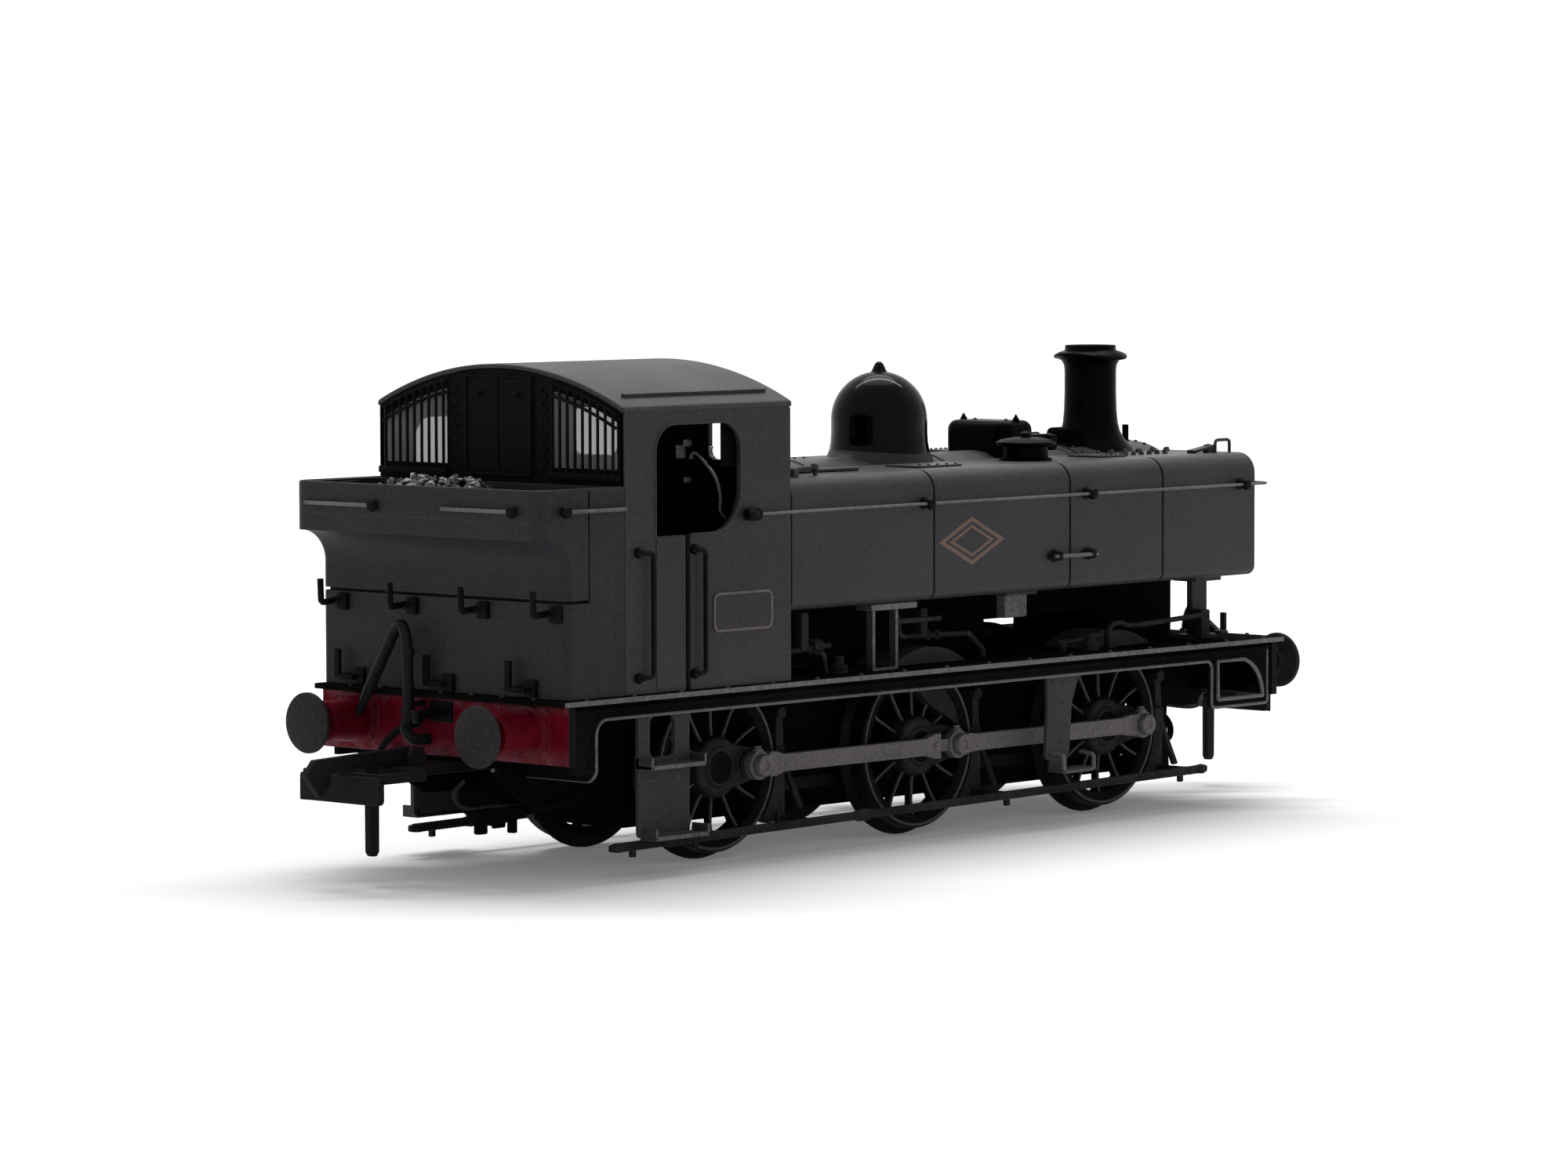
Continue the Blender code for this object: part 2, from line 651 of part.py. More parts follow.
def build_gear(parent):
    tip = GEAR_TIP
    root = GEAR_R - 1.2 * GEAR_MODULE
    slope = PITCH / (math.pi * WORM_PITCH_D)
    twist = GEAR_FACE / 2 * slope / GEAR_R
    bm = bmesh.new()
    loops = []
    for y, lean in ((-GEAR_FACE / 2, -twist), (GEAR_FACE / 2, twist)):
        ring = []
        inner = []
        for i in range(GEAR_TEETH):
            base = math.pi / 2 - lean + math.tau * i / GEAR_TEETH
            step = math.tau / GEAR_TEETH
            for r, share in ((root, -0.26), (tip, -0.10), (tip, 0.10), (root, 0.26)):
                a = base + share * step
                ring.append(bm.verts.new((r * math.cos(a), y, r * math.sin(a))))
            a = base
            bore = AXLE_D / 2 + FIT
            inner.append(bm.verts.new((bore * math.cos(a), y, bore * math.sin(a))))
        loops.append((ring, inner))
    (low, low_in), (high, high_in) = loops
    count = len(low)
    for k in range(count):
        bm.faces.new((low[k], low[(k + 1) % count], high[(k + 1) % count], high[k]))
    few = len(low_in)
    for k in range(few):
        bm.faces.new((low_in[k], high_in[k], high_in[(k + 1) % few], low_in[(k + 1) % few]))
    for ring, inner in loops:
        for k in range(few):
            j = (k + 1) % few
            bm.faces.new((ring[4 * k + 1], ring[4 * k + 2], inner[k]))
            bm.faces.new((ring[4 * k], ring[4 * k + 1], inner[k]))
            bm.faces.new((ring[4 * k + 2], ring[4 * k + 3], inner[k]))
            bm.faces.new((ring[4 * k + 3], ring[4 * j], inner[j], inner[k]))
    bmesh.ops.translate(bm, verts=bm.verts[:], vec=(MIDDLE_AXLE_X, 0, AXLE_Z))
    put("drive_gear", bm, BRASS, 0.4, 0.9, (MIDDLE_AXLE_X, 0, AXLE_Z), parent)


def build_wheelsets():
    for set_name, x in AXLES.items():
        hold = empty(f"{set_name}_wheelset", (x, 0, AXLE_Z))
        reach = WHEEL_FACE + HUB_PROUD
        put(f"axle_{set_name}", rod("y", (x, 0, AXLE_Z), AXLE_D, -reach, reach, 16), STEEL, 0.35, 1.0,
            (x, 0, AXLE_Z), hold)
        for name, side in SIDES.items():
            build_wheel(set_name, x, name, side, hold)
        if set_name == "middle":
            build_gear(hold)


def build_rods():
    for name, side in SIDES.items():
        pins = [crank_place(x, name) for x in AXLES.values()]
        z = pins[0][1]
        low = min(side * ROD_IN, side * ROD_OUT)
        high = max(side * ROD_IN, side * ROD_OUT)
        outline = []
        bar = ROD_H / 2
        r = ROD_EYE_D / 2
        lean = math.degrees(math.asin(min(bar / r, 0.95)))
        for k, (px, pz) in enumerate(pins):
            last = k == len(pins) - 1
            outline += arc(px, pz, r, -180 + lean, 0 if last else -lean, 6)
        for k, (px, pz) in reversed(list(enumerate(pins))):
            last = k == len(pins) - 1
            outline += arc(px, pz, r, lean if not last else 0, 180 - lean, 6)[1 if last else 0:]
        first = pins[0]
        outline.append((first[0] - r, first[1]))
        origin = (pins[1][0], 0, z)
        hold = bpy.data.objects["middle_wheelset"]
        bar_obj = put(f"coupling_rod_{name}", prism(outline, "y", low, high), STEEL, 0.45, 0.9, origin, hold)
        for px, pz in pins:
            cut(bar_obj, rod("y", (px, 0, pz), CRANK_PIN_D + 2 * RUN, low - PLAY, high + PLAY, 16))


# Motor, its shaft, flywheel and worm
def build_motor():
    flat = MOTOR_FLAT / 2
    rise = MOTOR_HEIGHT / 2
    wide = MOTOR_WIDTH / 2
    outline = [
        (-wide, WORM_Z - rise + (wide - flat) * 0.4), (-flat, WORM_Z - rise), (flat, WORM_Z - rise),
        (wide, WORM_Z - rise + (wide - flat) * 0.4), (wide, WORM_Z + rise - (wide - flat) * 0.4),
        (flat, WORM_Z + rise), (-flat, WORM_Z + rise), (-wide, WORM_Z + rise - (wide - flat) * 0.4),
    ]
    can = put("motor_can", prism(outline, "x", MOTOR_REAR_X, MOTOR_FRONT_X), STEEL, 0.35, 0.9)
    cut(can, rod("x", (0, 0, WORM_Z), SHAFT_D + 2 * RUN, MOTOR_REAR_X - PLAY, MOTOR_FRONT_X + PLAY, 16))
    origin = (MIDDLE_AXLE_X, 0, WORM_Z)
    hold = empty("motor_rotor", origin)
    put("motor_shaft", rod("x", (0, 0, WORM_Z), SHAFT_D, FLY_REAR_X, SHAFT_FRONT_X, 12), STEEL, 0.3, 1.0,
        origin, hold)
    bore = SHAFT_D / 2 + FIT
    r = FLYWHEEL_D / 2
    ring = [(bore, FLY_REAR_X), (r, FLY_REAR_X), (r, FLY_FRONT_X), (bore, FLY_FRONT_X)]
    put("flywheel", turned(ring, "x", (0, 0, WORM_Z), 24), BRASS, 0.3, 1.0, origin, hold)
    start = MIDDLE_AXLE_X - WORM_LENGTH / 2
    end = MIDDLE_AXLE_X + WORM_LENGTH / 2
    core = [(bore, start), (WORM_ROOT, start), (WORM_ROOT, end), (bore, end)]
    worm = put("worm", turned(core, "x", (0, 0, WORM_Z), 16), BRASS, 0.35, 1.0, origin, hold)
    join(worm, worm_thread(start + PITCH * 0.5, end - PITCH * 0.5))


def worm_thread(start, end):
    """A right-hand ridge wound round the worm, with a gap over the middle of the gear's top tooth."""
    first = math.ceil((start - MIDDLE_AXLE_X) / PITCH * THREAD_SEGS)
    last = math.floor((end - MIDDLE_AXLE_X) / PITCH * THREAD_SEGS)
    sink = WORM_ROOT - (WORM_ROOT - SHAFT_D / 2) * 0.3
    shape = ((sink, -0.27), (WORM_TIP, -0.10), (WORM_TIP, 0.10), (sink, 0.27))
    bm = bmesh.new()
    rings = []
    for i in range(first, last + 1):
        turns = i / THREAD_SEGS
        a = -math.pi / 2 + math.tau * turns
        ring = []
        for r, share in shape:
            x = MIDDLE_AXLE_X + PITCH * (turns + 0.5 + share)
            ring.append(bm.verts.new((x, r * math.cos(a), WORM_Z + r * math.sin(a))))
        rings.append(ring)
    count = len(shape)
    for one, two in zip(rings, rings[1:]):
        for k in range(count):
            bm.faces.new((one[k], one[(k + 1) % count], two[(k + 1) % count], two[k]))
    bm.faces.new(rings[0][::-1])
    bm.faces.new(rings[-1])
    return bm


# Running plate with valances, splashers and steps
def build_running_plate():
    y = PLATE_W / 2
    plate = put("running_plate", box(-PLATE_X, PLATE_X, -y, y, PLATE_UNDER, PLATE_TOP), BODY_BLACK, 0.7)
    low = PLATE_UNDER - VALANCE_DEPTH
    drop = PLATE_UNDER - END_DROP
    end = BEAM_FACE_X - BEAM_T - FIT
    top = PLATE_UNDER + PLATE_T / 2
    rear = -end + END_DROP_L
    front = end - FRONT_DROP_L
    soft = END_DROP_L * 0.35
    outline = [(-end, top), (-end, drop)]
    outline += arc(rear - soft, drop + soft, soft, -90, 0, 4)
    outline += arc(rear + soft, low - soft, soft, 180, 90, 4)
    outline += arc(front - soft, low - soft, soft, 90, 0, 4)
    outline += arc(front + soft, drop + soft, soft, 180, 270, 4)
    outline += [(end, drop), (end, top)]
    for side in SIDES.values():
        near = side * VALANCE_IN
        far = side * VALANCE_OUT
        join(plate, prism(outline, "y", min(near, far), max(near, far)))
        build_steps(plate, side)
        build_supports(plate, side)
        for x in AXLES.values():
            out = side * (WHEEL_FACE + SPLASHER_PROUD)
            inn = side * SPLASHER_IN
            dome = arc(x, AXLE_Z, SPLASHER_R, 0, 180, 24)
            dome = [p for p in dome if p[1] > PLATE_UNDER + PLATE_T / 2]
            half = math.sqrt(SPLASHER_R ** 2 - (PLATE_UNDER + PLATE_T / 2 - AXLE_Z) ** 2)
            dome = [(x + half, PLATE_UNDER + PLATE_T / 2)] + dome + [(x - half, PLATE_UNDER + PLATE_T / 2)]
            join(plate, prism(dome, "y", min(inn, out), max(inn, out)))
    for side in SIDES.values():
        for x in AXLES.values():
            inn = side * (BACK_TO_BACK / 2 - SWEEP)
            out = side * (WHEEL_FACE + SWEEP)
            cut(plate, rod("y", (x, 0, AXLE_Z), TREAD_D + 2 * FLANGE_H + 2 * SWEEP, min(inn, out),
                           max(inn, out), 28))
    cut(plate, box(BAY_REAR_X, BAY_FRONT_X, -BAY_W / 2, BAY_W / 2, PLATE_UNDER - PLAY, PLATE_TOP + PLAY))


def build_steps(plate, side):
    inside = side * (VALANCE_IN - STEP_T)
    out = side * (VALANCE_IN - STEP_T + STEP_TREAD)
    back = side * VALANCE_IN
    top = PLATE_UNDER + PLATE_T / 2

    def leg(x, width, bottom):
        return box(x - width / 2, x + width / 2, min(inside, back), max(inside, back), bottom, top)

    def tread(x, width, z):
        return box(x - width / 2, x + width / 2, min(inside, out), max(inside, out), z, z + STEP_T)

    join(plate, leg(CAB_STEP_X, CAB_STEP_W, CAB_STEP_LOWER_Z))
    join(plate, tread(CAB_STEP_X + PLAY, CAB_STEP_W + 2 * PLAY, CAB_STEP_UPPER_Z))
    join(plate, tread(CAB_STEP_X + PLAY, CAB_STEP_W + 2 * PLAY, CAB_STEP_LOWER_Z))
    join(plate, leg(FRONT_STEP_X, FRONT_STEP_W, FRONT_STEP_Z))
    join(plate, tread(FRONT_STEP_X + PLAY, FRONT_STEP_W + 2 * PLAY, FRONT_STEP_Z))


def build_supports(plate, side):
    """A post and an open bracket that carry one tank above the plate."""
    low = PLATE_UNDER + PLATE_T / 2
    high = TANK_BOTTOM - FIT
    half = SUPPORT_L / 2
    near = side * (SUPPORT_Y - SUPPORT_T / 2)
    far = side * (SUPPORT_Y + SUPPORT_T / 2)
    join(plate, box(SUPPORT_X - half, SUPPORT_X + half, min(near, far), max(near, far), low, high))
    half = BRACKET_L / 2
    near = side * (BRACKET_Y - SUPPORT_T / 2)
    far = side * (BRACKET_Y + SUPPORT_T / 2)
    for end in ENDS.values():
        a = BRACKET_X + end * half
        b = BRACKET_X + end * (half - BRACKET_BAR)
        join(plate, box(min(a, b), max(a, b), min(near, far), max(near, far), low, high))
    join(plate, box(BRACKET_X - half, BRACKET_X + half, min(near, far), max(near, far), high - BRACKET_BAR,
                    high))


# Buffer beams with their buffer stocks, and the sprung buffer heads
def build_ends():
    for name, end in ENDS.items():
        face = end * BEAM_FACE_X
        back = end * (BEAM_FACE_X - BEAM_T)
        beam = put(f"{name}_buffer_beam",
                   box(min(face, back), max(face, back), -BEAM_W / 2, BEAM_W / 2, BEAM_BOTTOM, BEAM_TOP),
                   CRIMSON, 0.7)
        for side_name, side in SIDES.items():
            y = side * BUFFER_SPACING / 2
            root = STOCK_ROOT_D / 2
            inside = BEAM_FACE_X - BEAM_T / 2
            lip = BEAM_FACE_X + STOCK_BASE_T
            stock = [(0, inside), (STOCK_BASE_D / 2, inside), (STOCK_BASE_D / 2, lip), (root, lip),
                     (STOCK_END_D / 2, STOCK_END_X), (0, STOCK_END_X)]
            stock = [(r, end * h) for r, h in stock]
            join(beam, turned(stock, "x", (0, y, BUFFER_Z), 16))
            bore = BUFFER_SHANK_D + 2 * RUN
            a = end * (BEAM_FACE_X - BEAM_T - PLAY)
            b = end * (STOCK_END_X + PLAY)
            cut(beam, rod("x", (0, y, BUFFER_Z), bore, min(a, b), max(a, b), 12))
            outer = BUFFER_FACE_X
            rim = outer - BUFFER_HEAD_T * 0.35
            inner = outer - BUFFER_HEAD_T
            r = BUFFER_HEAD_D / 2
            shank = BUFFER_SHANK_D / 2
            tail = STOCK_END_X - BUFFER_GRIP
            head = [(0, tail), (shank, tail), (shank, inner), (r, inner), (r, rim), (r * 0.6, outer - FIT),
                    (0, outer)]
            head = [(q, end * h) for q, h in head]
            put(f"buffer_head_{name}_{side_name}", turned(head, "x", (0, y, BUFFER_Z), 20), STEEL, 0.5, 0.7,
                (end * outer, y, BUFFER_Z))
        build_hose(name, end)
        build_coupling(name, end)


def build_hose(name, end):
    out = BEAM_FACE_X + HOSE_STANDOFF
    foot = BEAM_FACE_X + FIT
    turn = -end
    top = HOSE_TOP_REAR if name == "rear" else HOSE_TOP_FRONT
    points = [
        (end * foot, turn * HOSE_Y, HOSE_FOOT_Z),
        (end * (out - HOSE_D / 2), turn * HOSE_Y, HOSE_FOOT_Z + HOSE_D * 0.3),
        (end * out, turn * HOSE_Y, HOSE_FOOT_Z + HOSE_D * 1.6),
        (end * out, turn * HOSE_Y, top - HOSE_D * 1.6),
        (end * out, turn * (HOSE_Y + HOSE_D * 0.8), top),
        (end * out, turn * (HOSE_Y + HOSE_D * 2.2), top - HOSE_D),
        (end * out, turn * (HOSE_Y * 0.35 + HOSE_END_Y * 0.65), (top + HOSE_END_Z) / 2),
        (end * out, turn * HOSE_END_Y, HOSE_END_Z),
    ]
    put(f"vacuum_pipe_{name}", tube(smooth_path(points, 2), HOSE_D, 8), FRAME_BLACK, 0.6)


# Couplings: a swinging bar and loop held by a pin, and a lifting hook on it
def build_coupling(name, end):
    top = FRAME_END_BOTTOM - RUN
    low = top - COUPLING_PLATE_T
    x0 = COUPLING_PIVOT_X
    eye = COUPLING_EYE_D / 2
    shank = COUPLING_SHANK_W / 2
    loop_in = BAR_X - BAR_T - LOOP_L
    outline = arc(x0, 0, eye, 60, 300, 12)
    outline += [(loop_in - COUPLING_SHANK_W, -shank), (loop_in - LOOP_ARM, -BAR_W / 2),
                (BAR_X - BAR_T / 2, -BAR_W / 2), (BAR_X - BAR_T / 2, BAR_W / 2),
                (loop_in - LOOP_ARM, BAR_W / 2), (loop_in - COUPLING_SHANK_W, shank)]
    outline = [(end * a, b) for a, b in outline]
    pivot = (end * x0, 0, low)
    hold = empty(f"{name}_coupling_swing", pivot)
    frame = put(f"coupling_{name}", prism(outline, "z", low, top), FRAME_BLACK, 0.5, 0.0, pivot, hold)
    a = end * (BAR_X - BAR_T)
    b = end * BAR_X
    half = BAR_W / 2
    join(frame, box(min(a, b), max(a, b), -half, half, BAR_TOP - BAR_H, BAR_TOP))
    a = end * loop_in
    b = end * (BAR_X - BAR_T)
    half = BAR_W / 2 - LOOP_ARM
    cut(frame, box(min(a, b), max(a, b), -half, half, low - PLAY, top + PLAY))
    pin_x = HOOK_PIVOT_X
    ear_z = top + HOOK_H / 2 + PLAY
    ear_y = HOOK_W / 2 + RUN
    for side in SIDES.values():
        ear = [(pin_x - HOOK_H, low + PLAY), (pin_x + HOOK_H, low + PLAY), (pin_x + HOOK_H, ear_z),
               (pin_x + HOOK_H / 2, ear_z + HOOK_H), (pin_x - HOOK_H / 2, ear_z + HOOK_H),
               (pin_x - HOOK_H, ear_z)]
        ear = [(end * q, h) for q, h in ear]
        near = side * ear_y
        far = side * (ear_y + HOOK_EAR_T)
        join(frame, prism(ear, "y", min(near, far), max(near, far)))
    reach = ear_y + HOOK_EAR_T / 2
    join(frame, rod("y", (end * pin_x, 0, ear_z), HOOK_PIN_D, -reach, reach, 12))
    gap = COUPLING_PIN_D + 2 * RUN
    cut(frame, rod("z", (end * x0, 0, 0), gap, low - PLAY, top + PLAY, 20))
    r = COUPLING_PIN_D / 2
    head = COUPLING_HEAD_D / 2
    under = low - RUN
    up = FRAME_END_BOTTOM + 2 * COUPLING_PIN_D - FIT
    pin = [(0, under - COUPLING_HEAD_T), (head, under - COUPLING_HEAD_T), (head, under), (r, under),
           (r, up), (0, up)]
    put(f"coupling_pin_{name}", turned(pin, "z", (end * x0, 0, 0), 16), STEEL, 0.4, 0.9)
    build_hook(name, end, pin_x, ear_z, hold)


def build_hook(name, end, pin_x, ear_z, hold):
    eye = HOOK_H * 0.85
    under = ear_z - HOOK_H / 2
    over = max(ear_z + HOOK_H / 2, BAR_TOP + 2 * PLAY + HOOK_H)
    rest = over - HOOK_H
    tip = BAR_X + HOOK_REACH
    drop_a = DROPPER_X - DROPPER_W / 2
    drop_b = DROPPER_X + DROPPER_W / 2
    outline = arc(pin_x, ear_z, eye, 90, 300, 10)
    outline += [(drop_a, under), (drop_a, DROPPER_BOTTOM), (drop_b, DROPPER_BOTTOM), (drop_b, rest),
                (BAR_X + HOOK_H, rest), (BAR_X + HOOK_H, rest - HOOK_NOSE + HOOK_H),
                (BAR_X + HOOK_H * 2, rest - HOOK_NOSE), (tip, rest - HOOK_NOSE * 0.1), (tip - HOOK_H, over)]
    outline = [(end * a, b) for a, b in outline]
    origin = (end * pin_x, 0, ear_z)
    hook = put(f"coupling_hook_{name}", prism(outline, "y", -HOOK_W / 2, HOOK_W / 2), FRAME_BLACK, 0.5, 0.0,
               origin, hold)
    cut(hook, rod("y", (end * pin_x, 0, ear_z), HOOK_PIN_D + 2 * RUN, -HOOK_W, HOOK_W, 12))


# Cab, roof, bunker, coal and the boiler's back plate
def build_cab():
    half = CAB_W / 2
    wall = CAB_WALL
    below = ROOF_T + FIT
    steps = [-half + CAB_W * i / ROOF_SEGS for i in range(ROOF_SEGS + 1)]
    top = [(y, roof_z(y, below)) for y in steps]
    outline = [(half, BODY_BASE), (-half, BODY_BASE)] + top
    cab = put("cab", prism(outline, "x", CAB_REAR_X, CAB_FRONT_X), BODY_BLACK, 0.7)
    high = ROOF_TOP + PLAY
    cut(cab, box(CAB_REAR_X + wall, CAB_FRONT_X - wall, -half + wall, half - wall, BODY_BASE - PLAY, high))
    r = OPENING_TOP_R
    f = OPENING_FRONT_R
    hole = [(OPENING_REAR_X, OPENING_BOTTOM)]
    hole += arc(OPENING_FRONT_X - f, OPENING_BOTTOM + f, f, -90, 0, 5)
    hole += arc(OPENING_FRONT_X - r, OPENING_TOP - r, r, 0, 90, 5)
    hole += arc(OPENING_REAR_X + r, OPENING_TOP - r, r, 90, 180, 5)
    cut(cab, prism(hole, "y", -half - PLAY, half + PLAY))
    for side in SIDES.values():
        span = WINDOW_OUT - WINDOW_IN
        drop = below + WINDOW_BELOW_ROOF
        places = [WINDOW_IN + span * i / PANE_SEGS for i in range(PANE_SEGS + 1)]
        edge = [(side * y, roof_z(y, drop)) for y in places]
        pane = [(side * WINDOW_OUT, WINDOW_BOTTOM), (side * WINDOW_IN, WINDOW_BOTTOM)] + edge
        cut(cab, prism(pane, "x", CAB_REAR_X - PLAY, CAB_REAR_X + wall + PLAY))
        near = side * FRONT_WINDOW_IN
        far = side * FRONT_WINDOW_OUT
        cut(cab, box(CAB_FRONT_X - wall - PLAY, CAB_FRONT_X + PLAY, min(near, far), max(near, far),
                     WINDOW_BOTTOM, FRONT_WINDOW_TOP))
    for side in SIDES.values():
        inn = side * (SPLASHER_IN - FIT)
        out = side * (WHEEL_FACE + SPLASHER_PROUD + FIT)
        for x in AXLES.values():
            arch = arc(x, AXLE_Z, SPLASHER_R + 2 * FIT, 0, 180, 20)
            cut(cab, prism(arch, "y", min(inn, out), max(inn, out)))
    bay = BAY_W / 2
    cut(cab, box(BAY_REAR_X, BAY_FRONT_X, -bay, bay, BODY_BASE - PLAY, BAY_TOP))
    edge = half + ROOF_OVERHANG / 2
    ys = [-edge + 2 * edge * i / ROOF_SEGS for i in range(ROOF_SEGS + 1)]
    skin = [(y, roof_z(y, 0)) for y in ys] + [(y, roof_z(y, ROOF_T)) for y in reversed(ys)]
    put("cab_roof", prism(skin, "x", CAB_REAR_X - ROOF_OVERHANG, CAB_FRONT_X + ROOF_OVERHANG),
        BODY_BLACK, 0.75)
    x1 = CAB_FRONT_X - wall - FIT
    w = SPLASHER_IN - BACKHEAD_INSET
    shoulder = BACKHEAD_TOP - w
    plate = [(w, BODY_BASE), (-w, BODY_BASE)] + arc(0, shoulder, w, 180, 0, 12)
    backhead = put("backhead", prism(plate, "x", x1 - BACKHEAD_L, x1), FRAME_BLACK, 0.6)
    cut(backhead, box(BAY_REAR_X, BAY_FRONT_X, -bay, bay, BODY_BASE - PLAY, BAY_TOP))


def bunker_outline(inset, floor, top):
    """Side view of the bunker, drawn in by an amount, from a floor height to a top height."""
    front = CAB_REAR_X - FIT - inset
    rear = BUNKER_REAR_X + inset
    points = [(front, floor), (front, top), (rear - BUNKER_FLARE, top), (rear - BUNKER_FLARE, FLARE_HIGH)]
    for i in range(1, FLARE_SEGS + 1):
        a = math.pi / 2 * i / FLARE_SEGS
        points.append((rear - BUNKER_FLARE * (1 - math.sin(a)),
                       FLARE_HIGH - (FLARE_HIGH - FLARE_LOW) * (1 - math.cos(a))))
    if floor < FLARE_LOW:
        points.append((rear, floor))
    return points


def round_rear(bm, half):
    """Round the rear upright corners of the bunker."""
    edges = []
    for edge in bm.edges:
        one, two = edge.verts
        level = abs(abs(one.co.y) - half) < 1e-6 and abs(one.co.y - two.co.y) < 1e-6
        behind = max(one.co.x, two.co.x) < BUNKER_REAR_X + 1e-6
        upright = abs(one.co.z - two.co.z) > 1e-6
        if level and behind and upright:
            edges.append(edge)
    bmesh.ops.bevel(bm, geom=edges, offset=BUNKER_CORNER_R, offset_type="OFFSET", segments=3, profile=0.5,
                    affect="EDGES", clamp_overlap=True)
    return bm


def build_bunker():
    half = CAB_W / 2
    shell = round_rear(prism(bunker_outline(0, BODY_BASE, BUNKER_TOP), "y", -half, half), half)
    bunker = put("bunker", shell, BODY_BLACK, 0.7)
    wall = BUNKER_WALL
    front = CAB_REAR_X - FIT - wall
    rear = BUNKER_REAR_X - BUNKER_FLARE + wall
    room = half - wall
    cut(bunker, box(rear, front, -room, room, COAL_FLOOR + BUNKER_WALL * 2, BUNKER_TOP + PLAY))
    heap = bmesh.new()
    gap = 2 * FIT
    low = COAL_FLOOR + BUNKER_WALL * 2 + gap
    rows = []
    for i in range(COAL_SEGS_LONG + 1):
        row = []
        for j in range(COAL_SEGS_WIDE + 1):
            x = rear + gap + (front - rear - 2 * gap) * i / COAL_SEGS_LONG
            y = -room + gap + (2 * room - 2 * gap) * j / COAL_SEGS_WIDE
            edge = i in (0, COAL_SEGS_LONG) or j in (0, COAL_SEGS_WIDE)
            lump = 0.0 if edge else math.sin(i * 2.3 + j * 1.7) * 0.5 + math.sin(j * 2.9 - i * 1.3) * 0.5
            crown = 0.0
            if not edge:
                crown = math.sin(math.pi * i / COAL_SEGS_LONG)
                crown *= math.sin(math.pi * j / COAL_SEGS_WIDE) ** 0.5
            row.append(heap.verts.new((x, y, BUNKER_TOP - COAL_HEAP + COAL_HEAP * (crown + 0.35 * lump))))
        rows.append(row)
    for one, two in zip(rows, rows[1:]):
        for j in range(COAL_SEGS_WIDE):
            heap.faces.new((one[j], two[j], two[j + 1], one[j + 1]))
    rim = [edge for edge in heap.edges if edge.is_boundary]
    grown = bmesh.ops.extrude_edge_only(heap, edges=rim)
    for item in grown["geom"]:
        if isinstance(item, bmesh.types.BMVert):
            item.co.z = low
    bottom = [item for item in grown["geom"] if isinstance(item, bmesh.types.BMEdge)]
    bmesh.ops.contextual_create(heap, geom=[edge for edge in bottom if edge.is_boundary])
    put("coal_load", heap, COAL, 0.4)


# Tanks, boiler, smokebox and the mountings on top
def build_tanks():
    rear = CAB_FRONT_X + FIT
    for name, side in SIDES.items():
        r = TANK_ARC_R
        at_top = math.degrees(math.asin((TANK_TOP - BOILER_Z) / r))
        at_low = -math.degrees(math.asin((BOILER_Z - TANK_BOTTOM) / r))
        y = TANK_SIDE_Y
        outline = arc(0, BOILER_Z, r, at_low, at_top, 12)
        outline += arc(y - TANK_TOP_R, TANK_TOP - TANK_TOP_R, TANK_TOP_R, 90, 0, 6)
        outline += arc(y - TANK_BOTTOM_R, TANK_BOTTOM + TANK_BOTTOM_R, TANK_BOTTOM_R, 0, -90, 4)
        outline = [(side * a, b) for a, b in outline]
        put(f"tank_{name}", prism(outline, "x", rear, TANK_FRONT_X), BODY_BLACK, 0.7)
        build_filler(name, side)
        build_handrail(name, side)


def build_filler(name, side):
    base = TANK_TOP + FIT
    top = base + FILLER_H
    body = FILLER_D / 2
    lid = FILLER_LID_D / 2
    profile = [(0, base), (body, base), (body, top - FILLER_H * 0.4), (lid, top - FILLER_H * 0.4),
               (lid, top - FILLER_H * 0.22), (lid * 0.45, top), (0, top)]
    put(f"tank_filler_{name}", turned(profile, "z", (FILLER_X, side * FILLER_Y, 0), 20), FRAME_BLACK, 0.5)


def build_handrail(name, side):
    y = CAB_W / 2 + RAIL_STANDOFF
    tip = TANK_FRONT_X + RAIL_PROUD
    bend = RAIL_PROUD * 0.75
    points = [(RAIL_REAR_X - KNOB_D / 2, y), (KNOBS_X[1], y), (KNOBS_X[2], y), (tip - bend, y)]
    points += [(tip - bend + bend * math.sin(a), y - bend + bend * math.cos(a))
               for a in (math.pi / 6, math.pi / 3, math.pi / 2)]
    points.append((tip, y - bend - RAIL_RETURN))
    path = [(a, side * b, RAIL_Z) for a, b in points]
    rail = put(f"handrail_{name}", tube(path, RAIL_D, 6), STEEL, 0.5, 0.6)
    for x in KNOBS_X:
        face = CAB_W / 2 if x < CAB_FRONT_X else TANK_SIDE_Y
        near = side * (face + FIT)
        far = side * (y + RAIL_D * 0.2)
        join(rail, rod("y", (x, 0, RAIL_Z), KNOB_D, min(near, far), max(near, far), 8))


